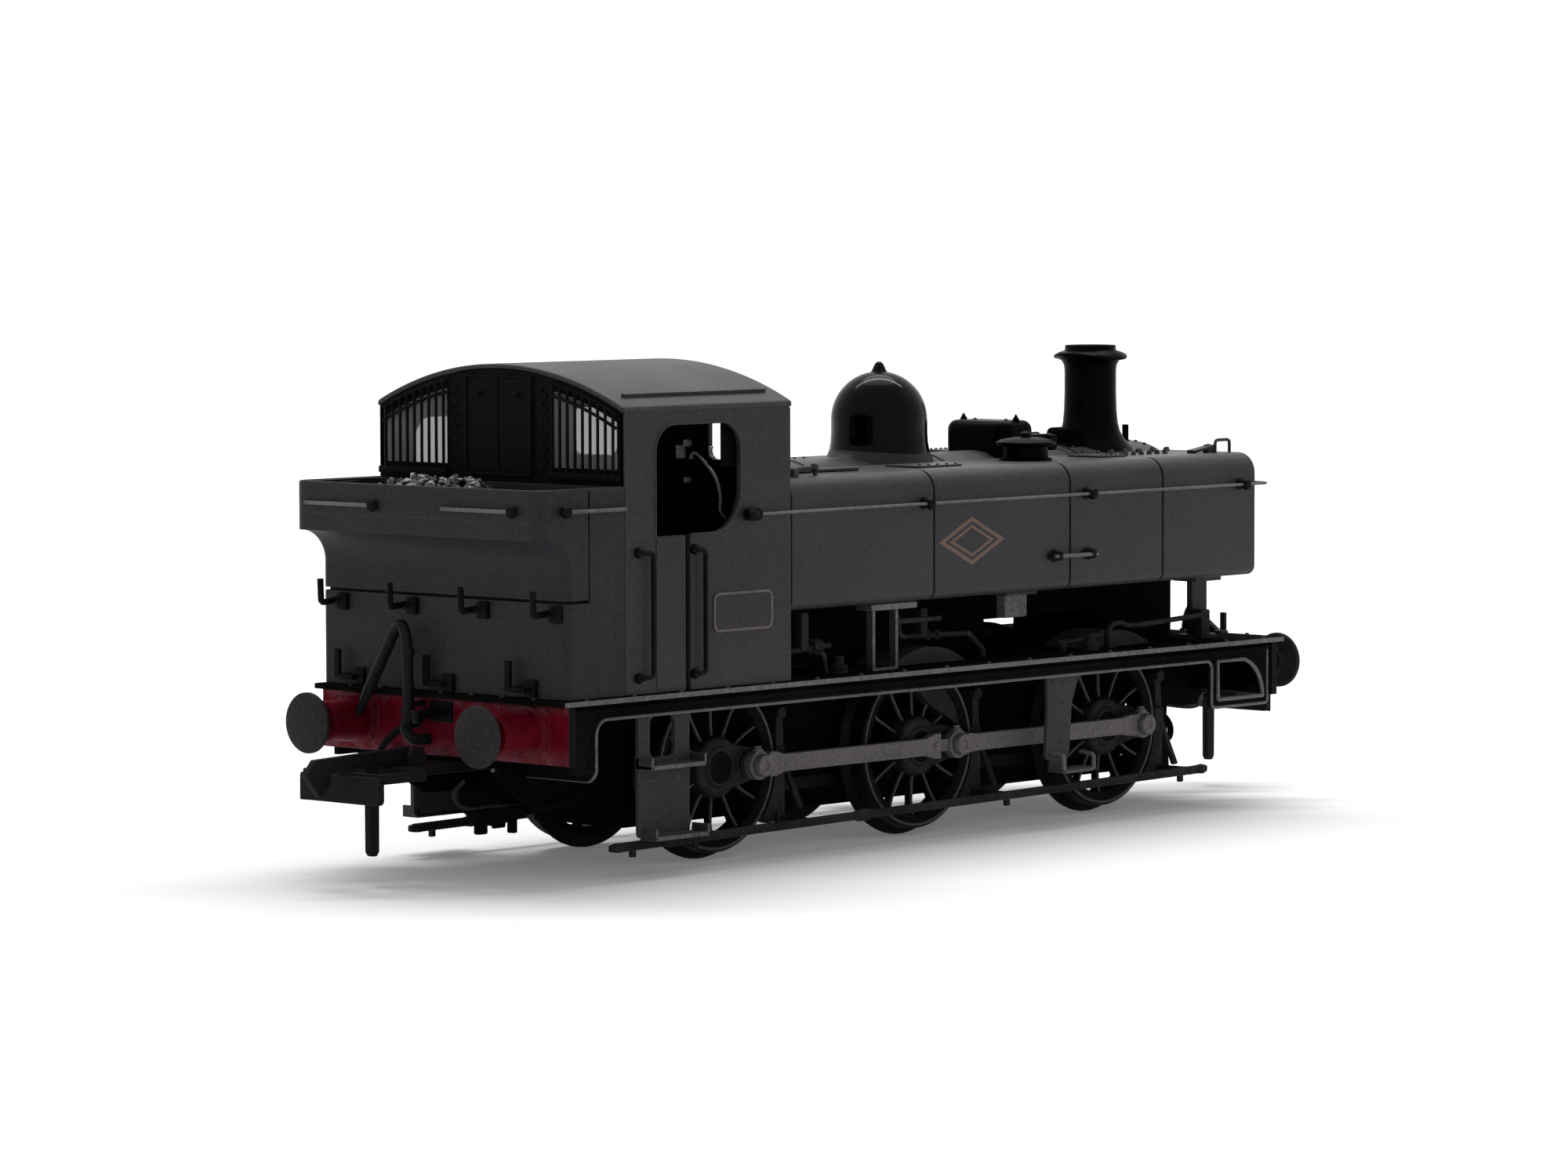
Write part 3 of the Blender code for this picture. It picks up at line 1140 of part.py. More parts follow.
def build_boiler():
    rear = CAB_FRONT_X + FIT
    joint = SMOKEBOX_FRONT_X - SMOKEBOX_L
    barrel = put("boiler", rod("x", (0, 0, BOILER_Z), 2 * BOILER_R, rear, joint - FIT), BODY_BLACK, 0.6)
    w = SPLASHER_IN - FIREBOX_INSET
    casing = rear + FIREBOX_L + MOTOR_COVER_L
    join(barrel, box(rear, casing, -w, w, BODY_BASE, BOILER_Z))
    bay = BAY_W / 2
    cut(barrel, box(rear - PLAY, BAY_FRONT_X, -bay, bay, BODY_BASE - PLAY, BAY_TOP))
    drum = put("smokebox", rod("x", (0, 0, BOILER_Z), 2 * SMOKEBOX_R, joint, SMOKEBOX_FRONT_X),
               BODY_BLACK, 0.6)
    middle = SMOKEBOX_FRONT_X - SMOKEBOX_L / 2
    w = SADDLE_W / 2
    join(drum, box(middle - SADDLE_L / 2, middle + SADDLE_L / 2, -w, w, BODY_BASE, BOILER_Z))
    face = SMOKEBOX_FRONT_X + FIT
    knob = face + DOOR_T * 1.6
    profile = [(0, face), (DOOR_R, face), (DOOR_R, face + DOOR_T * 0.35),
               (DOOR_R * 0.75, face + DOOR_T * 0.8), (DOOR_R * 0.15, face + DOOR_T), (DOOR_R * 0.12, knob),
               (0, knob)]
    put("smokebox_door", turned(profile, "x", (0, 0, BOILER_Z), 28), BODY_BLACK, 0.6)


def clear_tanks(target):
    """Trim a boiler mounting where its foot would run into the tank tops."""
    wide = TANK_FRONT_X
    for side in SIDES.values():
        near = side * (TANK_INNER_Y - FIT)
        far = side * TANK_SIDE_Y
        cut(target, box(-wide, wide, min(near, far), max(near, far), TANK_BOTTOM, TANK_TOP + FIT))


def build_mountings():
    length = TANK_FRONT_X * 2
    low = BOILER_Z + BOILER_R * 0.86
    crown = BOILER_Z + SMOKEBOX_R
    stem = CHIMNEY_STEM_D / 2
    lip = CHIMNEY_LIP_D / 2
    base = CHIMNEY_BASE_D / 2
    bore = CHIMNEY_BORE_D / 2
    rim = CHIMNEY_TOP - 0.85 * MM
    profile = [(0, low), (base, low), (base, crown - 0.3 * MM), (base * 0.82, crown + 0.25 * MM),
               (stem * 1.08, crown + 1.2 * MM), (stem * 0.98, crown + 3.0 * MM), (stem, rim - 1.5 * MM),
               (lip * 0.86, rim - 0.6 * MM), (lip, rim - 0.25 * MM), (lip, rim + 0.1 * MM),
               (stem * 0.98, rim + 0.45 * MM), (stem * 0.95, CHIMNEY_TOP), (bore, CHIMNEY_TOP),
               (bore, CHIMNEY_TOP - CHIMNEY_BORE_DEPTH), (0, CHIMNEY_TOP - CHIMNEY_BORE_DEPTH)]
    chimney = put("chimney", turned(profile, "z", (CHIMNEY_X, 0, 0), 24), GLOSS_BLACK, 0.35)
    cut(chimney, rod("x", (0, 0, BOILER_Z), 2 * (SMOKEBOX_R + FIT), -length, length, 36))
    clear_tanks(chimney)
    r = DOME_D / 2
    neck = DOME_TOP - r
    profile = [(0, low), (DOME_BASE_D / 2, low), (DOME_BASE_D / 2, BOILER_TOP - 0.5 * MM),
               (r * 1.05, BOILER_TOP + 0.3 * MM), (r, BOILER_TOP + 1.0 * MM)]
    profile += [(r * math.cos(a), neck + r * math.sin(a))
                for a in (math.radians(15 * i) for i in range(6))]
    finial = DOME_TOP + 0.95 * MM
    profile += [(0.5 * MM, DOME_TOP - 0.1 * MM), (0.35 * MM, finial), (0, finial)]
    dome = put("dome", turned(profile, "z", (DOME_X, 0, 0), 24), GLOSS_BLACK, 0.3)
    cut(dome, rod("x", (0, 0, BOILER_Z), 2 * (BOILER_R + FIT), -length, length, 36))
    clear_tanks(dome)
    half = VALVE_W / 2
    foot = TANK_TOP + FIT
    cap = [(half, foot)] + arc(half - VALVE_R, VALVE_TOP - VALVE_R, VALVE_R, 0, 90, 5)
    cap += arc(VALVE_R - half, VALVE_TOP - VALVE_R, VALVE_R, 90, 180, 5) + [(-half, foot)]
    cover = put("safety_valve_cover", prism(cap, "x", VALVE_X - VALVE_L / 2, VALVE_X + VALVE_L / 2),
                GLOSS_BLACK, 0.4)
    cut(cover, rod("x", (0, 0, BOILER_Z), 2 * (BOILER_R + FIT), -length, length, 36))


# Brake gear hung from the frames on each side
def build_brakes():
    for name, side in SIDES.items():
        start = AXLES["rear"] - BRAKE_ROD_REAR
        end = AXLES["front"] + BRAKE_ROD_FRONT
        clear = ROD_OUT + RUN + CRANK_HEAD_T + SWEEP
        near = side * clear
        far = side * (clear + BRAKE_ROD_T)
        h = BRAKE_ROD_H / 2
        z0 = BRAKE_ROD_REAR_Z
        z1 = BRAKE_ROD_REAR_Z + BRAKE_ROD_RISE
        bar = [(start, z0 - h), (end, z1 - h), (end, z1 + h), (start, z0 + h)]
        gear = put(f"brake_gear_{name}", prism(bar, "y", min(near, far), max(near, far)), FRAME_BLACK, 0.6)
        tread = TREAD_D / 2 + BRAKE_GAP
        block_in = side * (BACK_TO_BACK / 2 + FLANGE_W + PLAY)
        block_out = side * (WHEEL_FACE - PLAY)
        middle = (block_in + block_out) / 2
        for x in AXLES.values():
            share = (x + tread - start) / (end - start)
            z = z0 + (z1 - z0) * share
            shoe = arc(x, AXLE_Z, tread, -38, 8, 6) + arc(x, AXLE_Z, tread + BRAKE_BLOCK_T, 8, -38, 6)
            join(gear, prism(shoe, "y", min(block_in, block_out), max(block_in, block_out)))
            arm_x = x + tread + BRAKE_BLOCK_T - BRAKE_HANGER_W / 2
            t = BRAKE_HANGER_T / 2
            join(gear, box(arm_x - BRAKE_HANGER_W / 2, arm_x + BRAKE_HANGER_W / 2, middle - t, middle + t,
                           z - h, BRAKE_PIVOT_Z + BRAKE_HANGER_W / 2))
            tip = side * (clear + BRAKE_ROD_T / 2)
            join(gear, box(arm_x - h, arm_x + h, min(middle, tip), max(middle, tip), z - h * 0.8,
                           z + h * 0.3))
            frame = side * (FRAME_W / 2 + FIT)
            join(gear, rod("y", (arm_x, 0, BRAKE_PIVOT_Z), BRAKE_HANGER_W * 0.8, min(middle, frame),
                           max(middle, frame), 8))


deep_rear, deep_front = build_chassis()
build_keeper(deep_rear, deep_front)
build_wheelsets()
build_rods()
build_motor()
build_running_plate()
build_ends()
build_cab()
build_bunker()
build_tanks()
build_boiler()
build_mountings()
build_brakes()
bpy.context.view_layer.update()
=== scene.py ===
"""Model steam tank locomotive: the finished pieces and paint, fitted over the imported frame."""
import math
import random

import bmesh
import bpy
from mathutils import Matrix, Vector


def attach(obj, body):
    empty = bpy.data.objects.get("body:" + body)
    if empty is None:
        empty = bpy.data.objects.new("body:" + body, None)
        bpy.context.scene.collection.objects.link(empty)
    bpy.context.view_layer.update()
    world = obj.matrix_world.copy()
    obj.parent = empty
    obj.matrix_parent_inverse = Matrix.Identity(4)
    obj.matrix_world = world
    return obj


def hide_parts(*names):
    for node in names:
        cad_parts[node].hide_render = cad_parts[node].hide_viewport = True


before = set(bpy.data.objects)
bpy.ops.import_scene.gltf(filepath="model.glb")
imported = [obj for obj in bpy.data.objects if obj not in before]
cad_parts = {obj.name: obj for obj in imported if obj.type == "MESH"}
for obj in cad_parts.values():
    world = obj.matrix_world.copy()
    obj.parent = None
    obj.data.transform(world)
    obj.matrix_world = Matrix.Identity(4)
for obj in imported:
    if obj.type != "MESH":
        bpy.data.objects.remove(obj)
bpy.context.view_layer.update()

MM = 0.001
SIDES = {"right": -1.0, "left": 1.0}
ENDS = ("rear", "front")
AXLES = {"rear": -26.28, "middle": 3.05, "front": 32.38}
AXLE_Z = 9.0
CRANK = 4.2
DECK_TOP = 17.4
VALANCE_LOW, DROP_LOW = 15.4, 10.5
REAR_DROP, FRONT_DROP = -48.95, 42.74
STEP_PLATE = (14.95, 15.4)
STEP_REACH = (14.95, 17.1)
FRAME_PLATE = (6.42, 6.9)
BEAM_FACE = 53.1
BUFFER_Y, BUFFER_Z = 11.4, 14.3
COUPLING_PIVOT = 45.0
HOOK_X, HOOK_Z = 57.5, 11.62
BODY_BASE = 17.46
CAB_REAR, CAB_FRONT = -45.45, -22.6
CAB_HALF = 16.42
DOORWAY_X, DOORWAY_Z = (-41.36, -29.6), (32.1, 42.6)
ROOF_R, ROOF_TOP = 37.7, 48.1
BUNKER_BACK, BUNKER_LIP = -53.14, -56.87
BUNKER_FLOOR = 34.0
FLARE_TOP = 32.3
BOILER_Z = 29.4
BARREL_R, SMOKEBOX_R = 8.2, 8.4
TANK_TOP, TANK_UNDER = 36.9, 24.02
TANK_SIDE = 16.2
TANK_SEAMS = (-22.32, -1.45, 19.45, 34.35, 49.8)
CHIMNEY_X, DOME_X = 42.25, 8.65


# shaping
def place(axis, a, b, depth):
    """A point from two outline values and a depth along the axis."""
    return Vector({"x": (depth, a, b), "y": (a, depth, b), "z": (a, b, depth)}[axis])


def fresh(grown, kind):
    return [item for item in grown["geom"] if isinstance(item, kind)]


def tidy(bm):
    bmesh.ops.remove_doubles(bm, verts=bm.verts[:], dist=1e-5)
    bmesh.ops.recalc_face_normals(bm, faces=bm.faces[:])
    return bm


def ease(bm, size, steps=2, sharp=40.0, where=None):
    """Rounds the edges that turn more than an angle, or those that a test picks."""
    limit = math.radians(sharp)
    edges = []
    for edge in bm.edges:
        if len(edge.link_faces) == 2 and edge.calc_face_angle(0.0) > limit:
            if where is None or where(edge.verts[0].co, edge.verts[1].co):
                edges.append(edge)
    if edges:
        bmesh.ops.bevel(bm, geom=edges, offset=size, offset_type="OFFSET", affect="EDGES", segments=steps,
                        profile=0.5, material=-1, clamp_overlap=True)
    return bm


def slab(outline, axis, low, high, holes=(), soft=0.0, steps=2):
    """A plate cut to an outline, with holes, from one depth to another."""
    bm = bmesh.new()
    edges = []
    for ring in (outline, *holes):
        verts = [bm.verts.new(place(axis, p[0], p[1], low)) for p in ring]
        edges += [bm.edges.new((verts[i - 1], verts[i])) for i in range(len(verts))]
    if holes:
        bmesh.ops.triangle_fill(bm, use_beauty=True, use_dissolve=False, edges=edges)
    else:
        bmesh.ops.contextual_create(bm, geom=edges)
    grown = bmesh.ops.extrude_face_region(bm, geom=bm.faces[:])
    push = place(axis, 0, 0, high - low)
    bmesh.ops.translate(bm, vec=push, verts=fresh(grown, bmesh.types.BMVert))
    bmesh.ops.recalc_face_normals(bm, faces=bm.faces[:])
    return ease(bm, soft, steps) if soft else bm


def block(x, y, z, soft=0.1, steps=2):
    """A squared bar with eased edges."""
    bm = bmesh.new()
    bmesh.ops.create_cube(bm, size=1.0)
    low, high = zip(x, y, z)
    bmesh.ops.scale(bm, vec=[b - a for a, b in zip(low, high)], verts=bm.verts[:])
    bmesh.ops.translate(bm, vec=[(a + b) / 2 for a, b in zip(low, high)], verts=bm.verts[:])
    return ease(bm, soft, steps) if soft else bm


def turned(profile, axis, centre=(0, 0, 0), segs=48, closed=False):
    """A lathe-turned shape: profile is (radius, distance along the axis)."""
    bm = bmesh.new()
    verts = [bm.verts.new((r, 0.0, h)) for r, h in profile]
    edges = [bm.edges.new(pair) for pair in zip(verts, verts[1:])]
    if closed:
        edges.append(bm.edges.new((verts[-1], verts[0])))
    bmesh.ops.spin(bm, geom=verts + edges, cent=(0, 0, 0), axis=(0, 0, 1), angle=math.tau, steps=segs,
                   use_merge=True)
    tidy(bm)
    lay = {"z": Matrix.Identity(4), "x": Matrix(((0, 0, 1, 0), (1, 0, 0, 0), (0, 1, 0, 0), (0, 0, 0, 1))),
           "y": Matrix(((0, 1, 0, 0), (0, 0, 1, 0), (1, 0, 0, 0), (0, 0, 0, 1)))}[axis]
    bmesh.ops.transform(bm, matrix=Matrix.Translation(Vector(centre)) @ lay, verts=bm.verts[:])
    return bm


def wire(points, diameter, sides=10, sizes=None):
    """A round wire drawn along a path and closed at both ends."""
    points = [Vector(p) for p in points]
    sizes = sizes or [1.0] * len(points)
    along = (points[1] - points[0]).normalized()
    turn = Vector((0, 0, 1)).rotation_difference(along)
    stations = []
    for i, point in enumerate(points):
        ahead = (points[min(i + 1, len(points) - 1)] - point).normalized()
        behind = (point - points[max(i - 1, 0)]).normalized()
        tangent = (ahead + behind).normalized()
        turn = along.rotation_difference(tangent) @ turn
        along = tangent
        stations.append(Matrix.Translation(point) @ turn.to_matrix().to_4x4() @ Matrix.Scale(sizes[i], 4))
    bm = bmesh.new()
    bmesh.ops.create_circle(bm, cap_ends=True, radius=diameter / 2, segments=sides)
    bmesh.ops.transform(bm, matrix=stations[0], verts=bm.verts[:])
    cap = bm.faces[:]
    for before, after in zip(stations, stations[1:]):
        grown = bmesh.ops.extrude_face_region(bm, geom=cap)
        bmesh.ops.transform(bm, matrix=after @ before.inverted(), verts=fresh(grown, bmesh.types.BMVert))
        cap = fresh(grown, bmesh.types.BMFace)
    bmesh.ops.recalc_face_normals(bm, faces=bm.faces[:])
    return bm


def ball(centre, diameter, segs=14):
    bm = bmesh.new()
    bmesh.ops.create_uvsphere(bm, u_segments=segs, v_segments=max(6, segs // 2), radius=diameter / 2,
                              matrix=Matrix.Translation(Vector(centre)))
    return bm


def rivets(spots, normal, diameter=0.5, proud=0.2):
    """Small round rivet heads on a face."""
    bm = bmesh.new()
    out = Vector(normal)
    upright = Vector((0, 0, 1)).rotation_difference(out).to_matrix().to_4x4()
    for spot in spots:
        middle = Vector(spot) + out * (proud / 2 - 0.03)
        bmesh.ops.create_cone(bm, cap_ends=True, segments=8, radius1=diameter / 2, radius2=diameter * 0.26,
                              depth=proud + 0.06, matrix=Matrix.Translation(middle) @ upright)
    return bm


def hexnut(centre, axis, across, thick):
    profile = [(0, -thick / 2), (across * 0.5, -thick / 2), (across * 0.577, -thick * 0.3),
               (across * 0.577, thick * 0.3), (across * 0.5, thick / 2), (0, thick / 2)]
    return turned(profile, axis, centre, 6)


def rounded(points, radius, steps=5, closed=True):
    """A path with its corners turned to arcs; radius is one value or one for each corner."""
    points = [Vector(p) for p in points]
    radii = radius if isinstance(radius, (list, tuple)) else [radius] * len(points)
    path = []
    for i, corner in enumerate(points):
        if radii[i] <= 0 or (not closed and i in (0, len(points) - 1)):
            path.append(corner)
            continue
        back = (points[i - 1] - corner).normalized()
        on = (points[(i + 1) % len(points)] - corner).normalized()
        half = back.angle(on) / 2
        centre = corner + (back + on).normalized() * (radii[i] / math.sin(half))
        start = corner + back * (radii[i] / math.tan(half)) - centre
        end = corner + on * (radii[i] / math.tan(half)) - centre
        path += [centre + start.lerp(end, k / steps).normalized() * radii[i] for k in range(steps + 1)]
    return path


def curve(points, steps=6):
    """A smooth path through the given points."""
    path = [Vector(p) for p in points]
    path = [2 * path[0] - path[1]] + path + [2 * path[-1] - path[-2]]
    out = []
    for a, b, c, d in zip(path, path[1:], path[2:], path[3:]):
        for t in (i / steps for i in range(steps)):
            out.append(0.5 * (2 * b + (c - a) * t + (2 * a - 5 * b + 4 * c - d) * t * t
                              + (3 * b - a - 3 * c + d) * t ** 3))
    return out + [path[-2]]


def arc(cx, cy, r, start, end, steps=12):
    turns = [math.radians(start + (end - start) * i / steps) for i in range(steps + 1)]
    return [(cx + r * math.cos(a), cy + r * math.sin(a)) for a in turns]


def plate_outline(a, b, c, d, radius, steps=5):
    """A rectangle with round corners."""
    return rounded([(a, c), (b, c), (b, d), (a, d)], radius, steps)


def gather(*parts):
    """Puts several shapes in one."""
    whole = bmesh.new()
    for part in parts:
        mesh = bpy.data.meshes.new("shape")
        part.to_mesh(mesh)
        part.free()
        whole.from_mesh(mesh)
        bpy.data.meshes.remove(mesh)
    return whole


def flipped(bm, axis="y"):
    """The same shape for the other side or the other end."""
    other = bm.copy()
    bmesh.ops.scale(other, vec=(-1, 1, 1) if axis == "x" else (1, -1, 1), verts=other.verts[:])
    bmesh.ops.reverse_faces(other, faces=other.faces[:])
    return other


def both(bm, axis="y"):
    return gather(flipped(bm, axis), bm)


def tint(bm, index):
    """Gives a whole shape one of the piece's finishes by number."""
    for face in bm.faces:
        face.material_index = index
    return bm


def lined(bm, way, index):
    """Gives the faces that look one way another of the piece's finishes."""
    for face in bm.faces:
        if face.normal.dot(Vector(way)) > 0.7:
            face.material_index = index
    return bm


def moved(bm, shift):
    bmesh.ops.translate(bm, vec=shift, verts=bm.verts[:])
    return bm


def swung(bm, axis, degrees, about=(0, 0, 0)):
    turn = Matrix.Rotation(math.radians(degrees), 3, axis)
    bmesh.ops.rotate(bm, cent=about, matrix=turn, verts=bm.verts[:])
    return bm


def facing(bm, end):
    """A shape made for the front, turned round if it is for the rear."""
    return swung(bm, "Z", 180) if end == "rear" else bm


def piece(name, shapes, finishes, body="locomotive", stands_for=(), sharp=35.0):
    """Makes the named piece, lays its finishes on and hangs it on a body."""
    bm = gather(*shapes)
    bmesh.ops.scale(bm, vec=(MM, MM, MM), verts=bm.verts[:])
    mesh = bpy.data.meshes.new(name)
    bm.to_mesh(mesh)
    bm.free()
    mesh.shade_smooth()
    mesh.set_sharp_from_angle(angle=math.radians(sharp))
    for paint in finishes:
        mesh.materials.append(paint)
    obj = bpy.data.objects.new(name, mesh)
    bpy.context.scene.collection.objects.link(obj)
    obj.modifiers.new("even_shading", "WEIGHTED_NORMAL").keep_sharp = True
    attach(obj, body)
    if stands_for:
        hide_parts(*stands_for)
    return obj


# finishes
class Finish:
    """A material and the few kinds of node that the finishes use."""

    def __init__(self, name, rough, metal=0.0, specular=0.3):
        self.material = bpy.data.materials.new(name)
        self.material.use_nodes = True
        self.tree = self.material.node_tree
        self.shader = self.tree.nodes["Principled BSDF"]
        self.shader.inputs["Roughness"].default_value = rough
        self.shader.inputs["Metallic"].default_value = metal
        self.shader.inputs["Specular IOR Level"].default_value = specular
        self.coords = self.tree.nodes.new("ShaderNodeTexCoord").outputs["Object"]

    def feed(self, socket, value):
        """Links a socket to another, or sets it; a colour is three numbers."""
        if isinstance(value, bpy.types.NodeSocket):
            self.tree.links.new(value, socket)
        else:
            socket.default_value = (*value, 1.0) if socket.type == "RGBA" else value

    def node(self, kind, values):
        """A new node with the named inputs fed."""
        made = self.tree.nodes.new("ShaderNode" + kind)
        for name, value in values.items():
            self.feed(made.inputs[name], value)
        return made

    def noise(self, scale, detail=3.0, rough=0.55, stretch=None):
        source = self.coords
        if stretch:
            source = self.node("Mapping", {"Vector": source, "Scale": stretch}).outputs["Vector"]
        values = {"Vector": source, "Scale": scale, "Detail": detail, "Roughness": rough}
        return self.node("TexNoise", values).outputs["Fac"]

    def spread(self, value, low, high, to_low=0.0, to_high=1.0):
        """A value's range from low to high, laid on another range and held to it."""
        values = {"Value": value, "From Min": low, "From Max": high, "To Min": to_low, "To Max": to_high}
        return self.node("MapRange", values).outputs["Result"]

    def combine(self, operation, a, b):
        made = self.tree.nodes.new("ShaderNodeMath")
        made.operation = operation
        self.feed(made.inputs[0], a)
        self.feed(made.inputs[1], b)
        return made.outputs["Value"]

    def mix(self, share, a, b):
        made = self.tree.nodes.new("ShaderNodeMix")
        made.data_type = "RGBA"
        self.feed(made.inputs["Factor"], share)
        self.feed(made.inputs[6], a)
        self.feed(made.inputs[7], b)
        return made.outputs[2]

    def upward(self, vector):
        """The z part of a place or a direction."""
        return self.node("SeparateXYZ", {"Vector": vector}).outputs["Z"]

    def facing_up(self):
        return self.upward(self.node("NewGeometry", {}).outputs["Normal"])

    def height(self):
        return self.upward(self.coords)

    def edges(self, radius):
        """Near 1 along sharp edges."""
        soft = self.node("Bevel", {"Radius": radius * MM})
        soft.samples = 6
        dot = self.tree.nodes.new("ShaderNodeVectorMath")
        dot.operation = "DOT_PRODUCT"
        self.feed(dot.inputs[0], soft.outputs["Normal"])
        self.feed(dot.inputs[1], self.node("NewGeometry", {}).outputs["Normal"])
        return self.spread(dot.outputs["Value"], 0.99, 0.86)

    def bump(self, height, strength, depth):
        values = {"Height": height, "Strength": strength, "Distance": depth * MM}
        self.feed(self.shader.inputs["Normal"], self.node("Bump", values).outputs["Normal"])

    def colour(self, value):
        self.feed(self.shader.inputs["Base Color"], value)
        return self.material


DUST_AND_SHEEN = (0.16, 0.145, 0.135)
BROWN = (0.075, 0.062, 0.055)


def weathered(name, deep, pale, rough=0.5, metal=0.0, specular=0.3, dust_and_sheen=0.0, streak=0.0, road=0.0, wear_and_highlight=0.0,
              wear_and_highlight_colour=(0.11, 0.105, 0.105), grain=0.35, relief=0.12, blotch=75.0):
    """Paint or metal: cloudy tone, fine grain, dust and a painted sheen from above, rain streaks, road dirt,
    and edges pale from wear and a painted highlight.
    """
    f = Finish(name, rough, metal, specular)
    cloud = f.noise(blotch, 4.0, 0.6)
    speck = f.noise(2600.0, 2.0, 0.7)
    tone = f.mix(f.spread(cloud, 0.32, 0.7), deep, pale)
    tone = f.mix(f.spread(speck, 0.35, 0.75, 0.0, grain), tone, tuple(min(1.0, c * 2.1) for c in pale))
    if road:
        splashed = f.spread(f.height(), 0.030, 0.014, 0.0, road)
        share = f.combine("MULTIPLY", splashed, f.spread(cloud, 0.3, 0.65, 0.35, 1.0))
        tone = f.mix(share, tone, BROWN)
    if streak:
        runs = f.spread(f.noise(1.0, 3.0, 0.6, (520.0, 520.0, 26.0)), 0.5, 0.74, 0.0, streak)
        share = f.combine("MULTIPLY", runs, f.spread(f.noise(45.0), 0.4, 0.7))
        tone = f.mix(share, tone, BROWN)
    # dust on faces that look up, made paler still as a painted sheen of the overhead light
    if dust_and_sheen:
        upward_dust_and_sheen = f.spread(f.facing_up(), 0.35, 0.95, 0.0, dust_and_sheen)
        share = f.combine("MULTIPLY", upward_dust_and_sheen, f.spread(f.noise(130.0, 5.0, 0.65), 0.32, 0.62, 0.25, 1.0))
        tone = f.mix(share, tone, DUST_AND_SHEEN)
    # sharp edges turn pale: partly worn paint, partly a painted highlight where edges catch the light
    if wear_and_highlight:
        rubbed_and_highlit = f.spread(f.noise(420.0, 3.0), 0.36, 0.62, 0.15 * wear_and_highlight, wear_and_highlight)
        tone = f.mix(f.combine("MULTIPLY", f.edges(0.16), rubbed_and_highlit), tone, wear_and_highlight_colour)
    uneven = f.combine("ADD", cloud, f.combine("MULTIPLY", speck, 0.5))
    f.feed(f.shader.inputs["Roughness"], f.spread(uneven, 0.5, 1.0, rough - 0.07, rough + 0.08))
    ripple = f.combine("MULTIPLY", f.noise(260.0, 3.0), 0.8)
    f.bump(f.combine("ADD", ripple, f.combine("MULTIPLY", speck, 0.35)), relief, 0.06)
    return f.colour(tone)


body_black = weathered("body_black", (0.023, 0.022, 0.0255), (0.037, 0.0355, 0.040), 0.42, specular=0.13,
                       dust_and_sheen=0.2, streak=0.30, road=0.30, wear_and_highlight=0.4)
cab_black = weathered("cab_black", (0.023, 0.022, 0.0255), (0.037, 0.035, 0.039), 0.44, specular=0.11,
                      dust_and_sheen=0.06, streak=0.25, road=0.45, wear_and_highlight=0.4)
# a darker copy of the cab paint for the bunker: painted shade
bunker_shade_black = weathered("bunker_shade_black", (0.0185, 0.018, 0.0215), (0.030, 0.029, 0.0335), 0.46,
                         specular=0.08, dust_and_sheen=0.06, streak=0.2, wear_and_highlight=0.4)
# near-black for the cab's inner faces and the roof's underside: painted shade
cab_inside_shade_black = weathered("cab_inside_painted_shade", (0.0015, 0.0015, 0.0018), (0.004, 0.004, 0.004), 0.7,
                         specular=0.03)
# paler than the cab paint, with much dust on top: dust, and a painted sheen where the roof catches the light
roof_black_and_sheen = weathered("roof_black_and_sheen", (0.024, 0.023, 0.027), (0.052, 0.050, 0.054), 0.55, specular=0.14,
                       dust_and_sheen=0.34, wear_and_highlight=0.45, blotch=110.0)
plate_black = weathered("footplate_black", (0.032, 0.030, 0.032), (0.060, 0.057, 0.059), 0.55, specular=0.05,
                        dust_and_sheen=0.25, road=0.2, wear_and_highlight=0.9, wear_and_highlight_colour=(0.15, 0.14, 0.135))
# near-black with no gloss: painted shade for the deck under the tanks, also used on the valance
deck_shade_black = weathered("deck_shade_black", (0.0035, 0.0032, 0.0032), (0.010, 0.0093, 0.009), 0.8, specular=0.0,
                       dust_and_sheen=0.03, wear_and_highlight=0.3, wear_and_highlight_colour=(0.05, 0.047, 0.045))
# pale grey for outer edges and faces: worn paint, and a painted highlight where they catch the light
pale_edge_wear_and_highlight = weathered("pale_edge_wear_and_highlight_grey", (0.075, 0.070, 0.069), (0.155, 0.147, 0.143), 0.55, specular=0.1,
                      grain=0.5)
spectacle_black = weathered("spectacle_black", (0.002, 0.002, 0.003), (0.005, 0.005, 0.006), 0.5,
                            specular=0.03, wear_and_highlight=0.3, wear_and_highlight_colour=(0.05, 0.048, 0.055))
gloss_black = weathered("gloss_black", (0.0006, 0.0006, 0.0012), (0.0014, 0.0014, 0.0022), 0.11,
                        specular=0.065, grain=0.05, relief=0.02)
chimney_black = weathered("chimney_black", (0.0008, 0.0008, 0.0015), (0.0025, 0.0025, 0.004), 0.34,
                          specular=0.02, grain=0.1, relief=0.05)
fitting_black = weathered("fitting_black", (0.0015, 0.0015, 0.002), (0.005, 0.005, 0.006), 0.45,
                          specular=0.04, wear_and_highlight=0.35, wear_and_highlight_colour=(0.05, 0.048, 0.05))
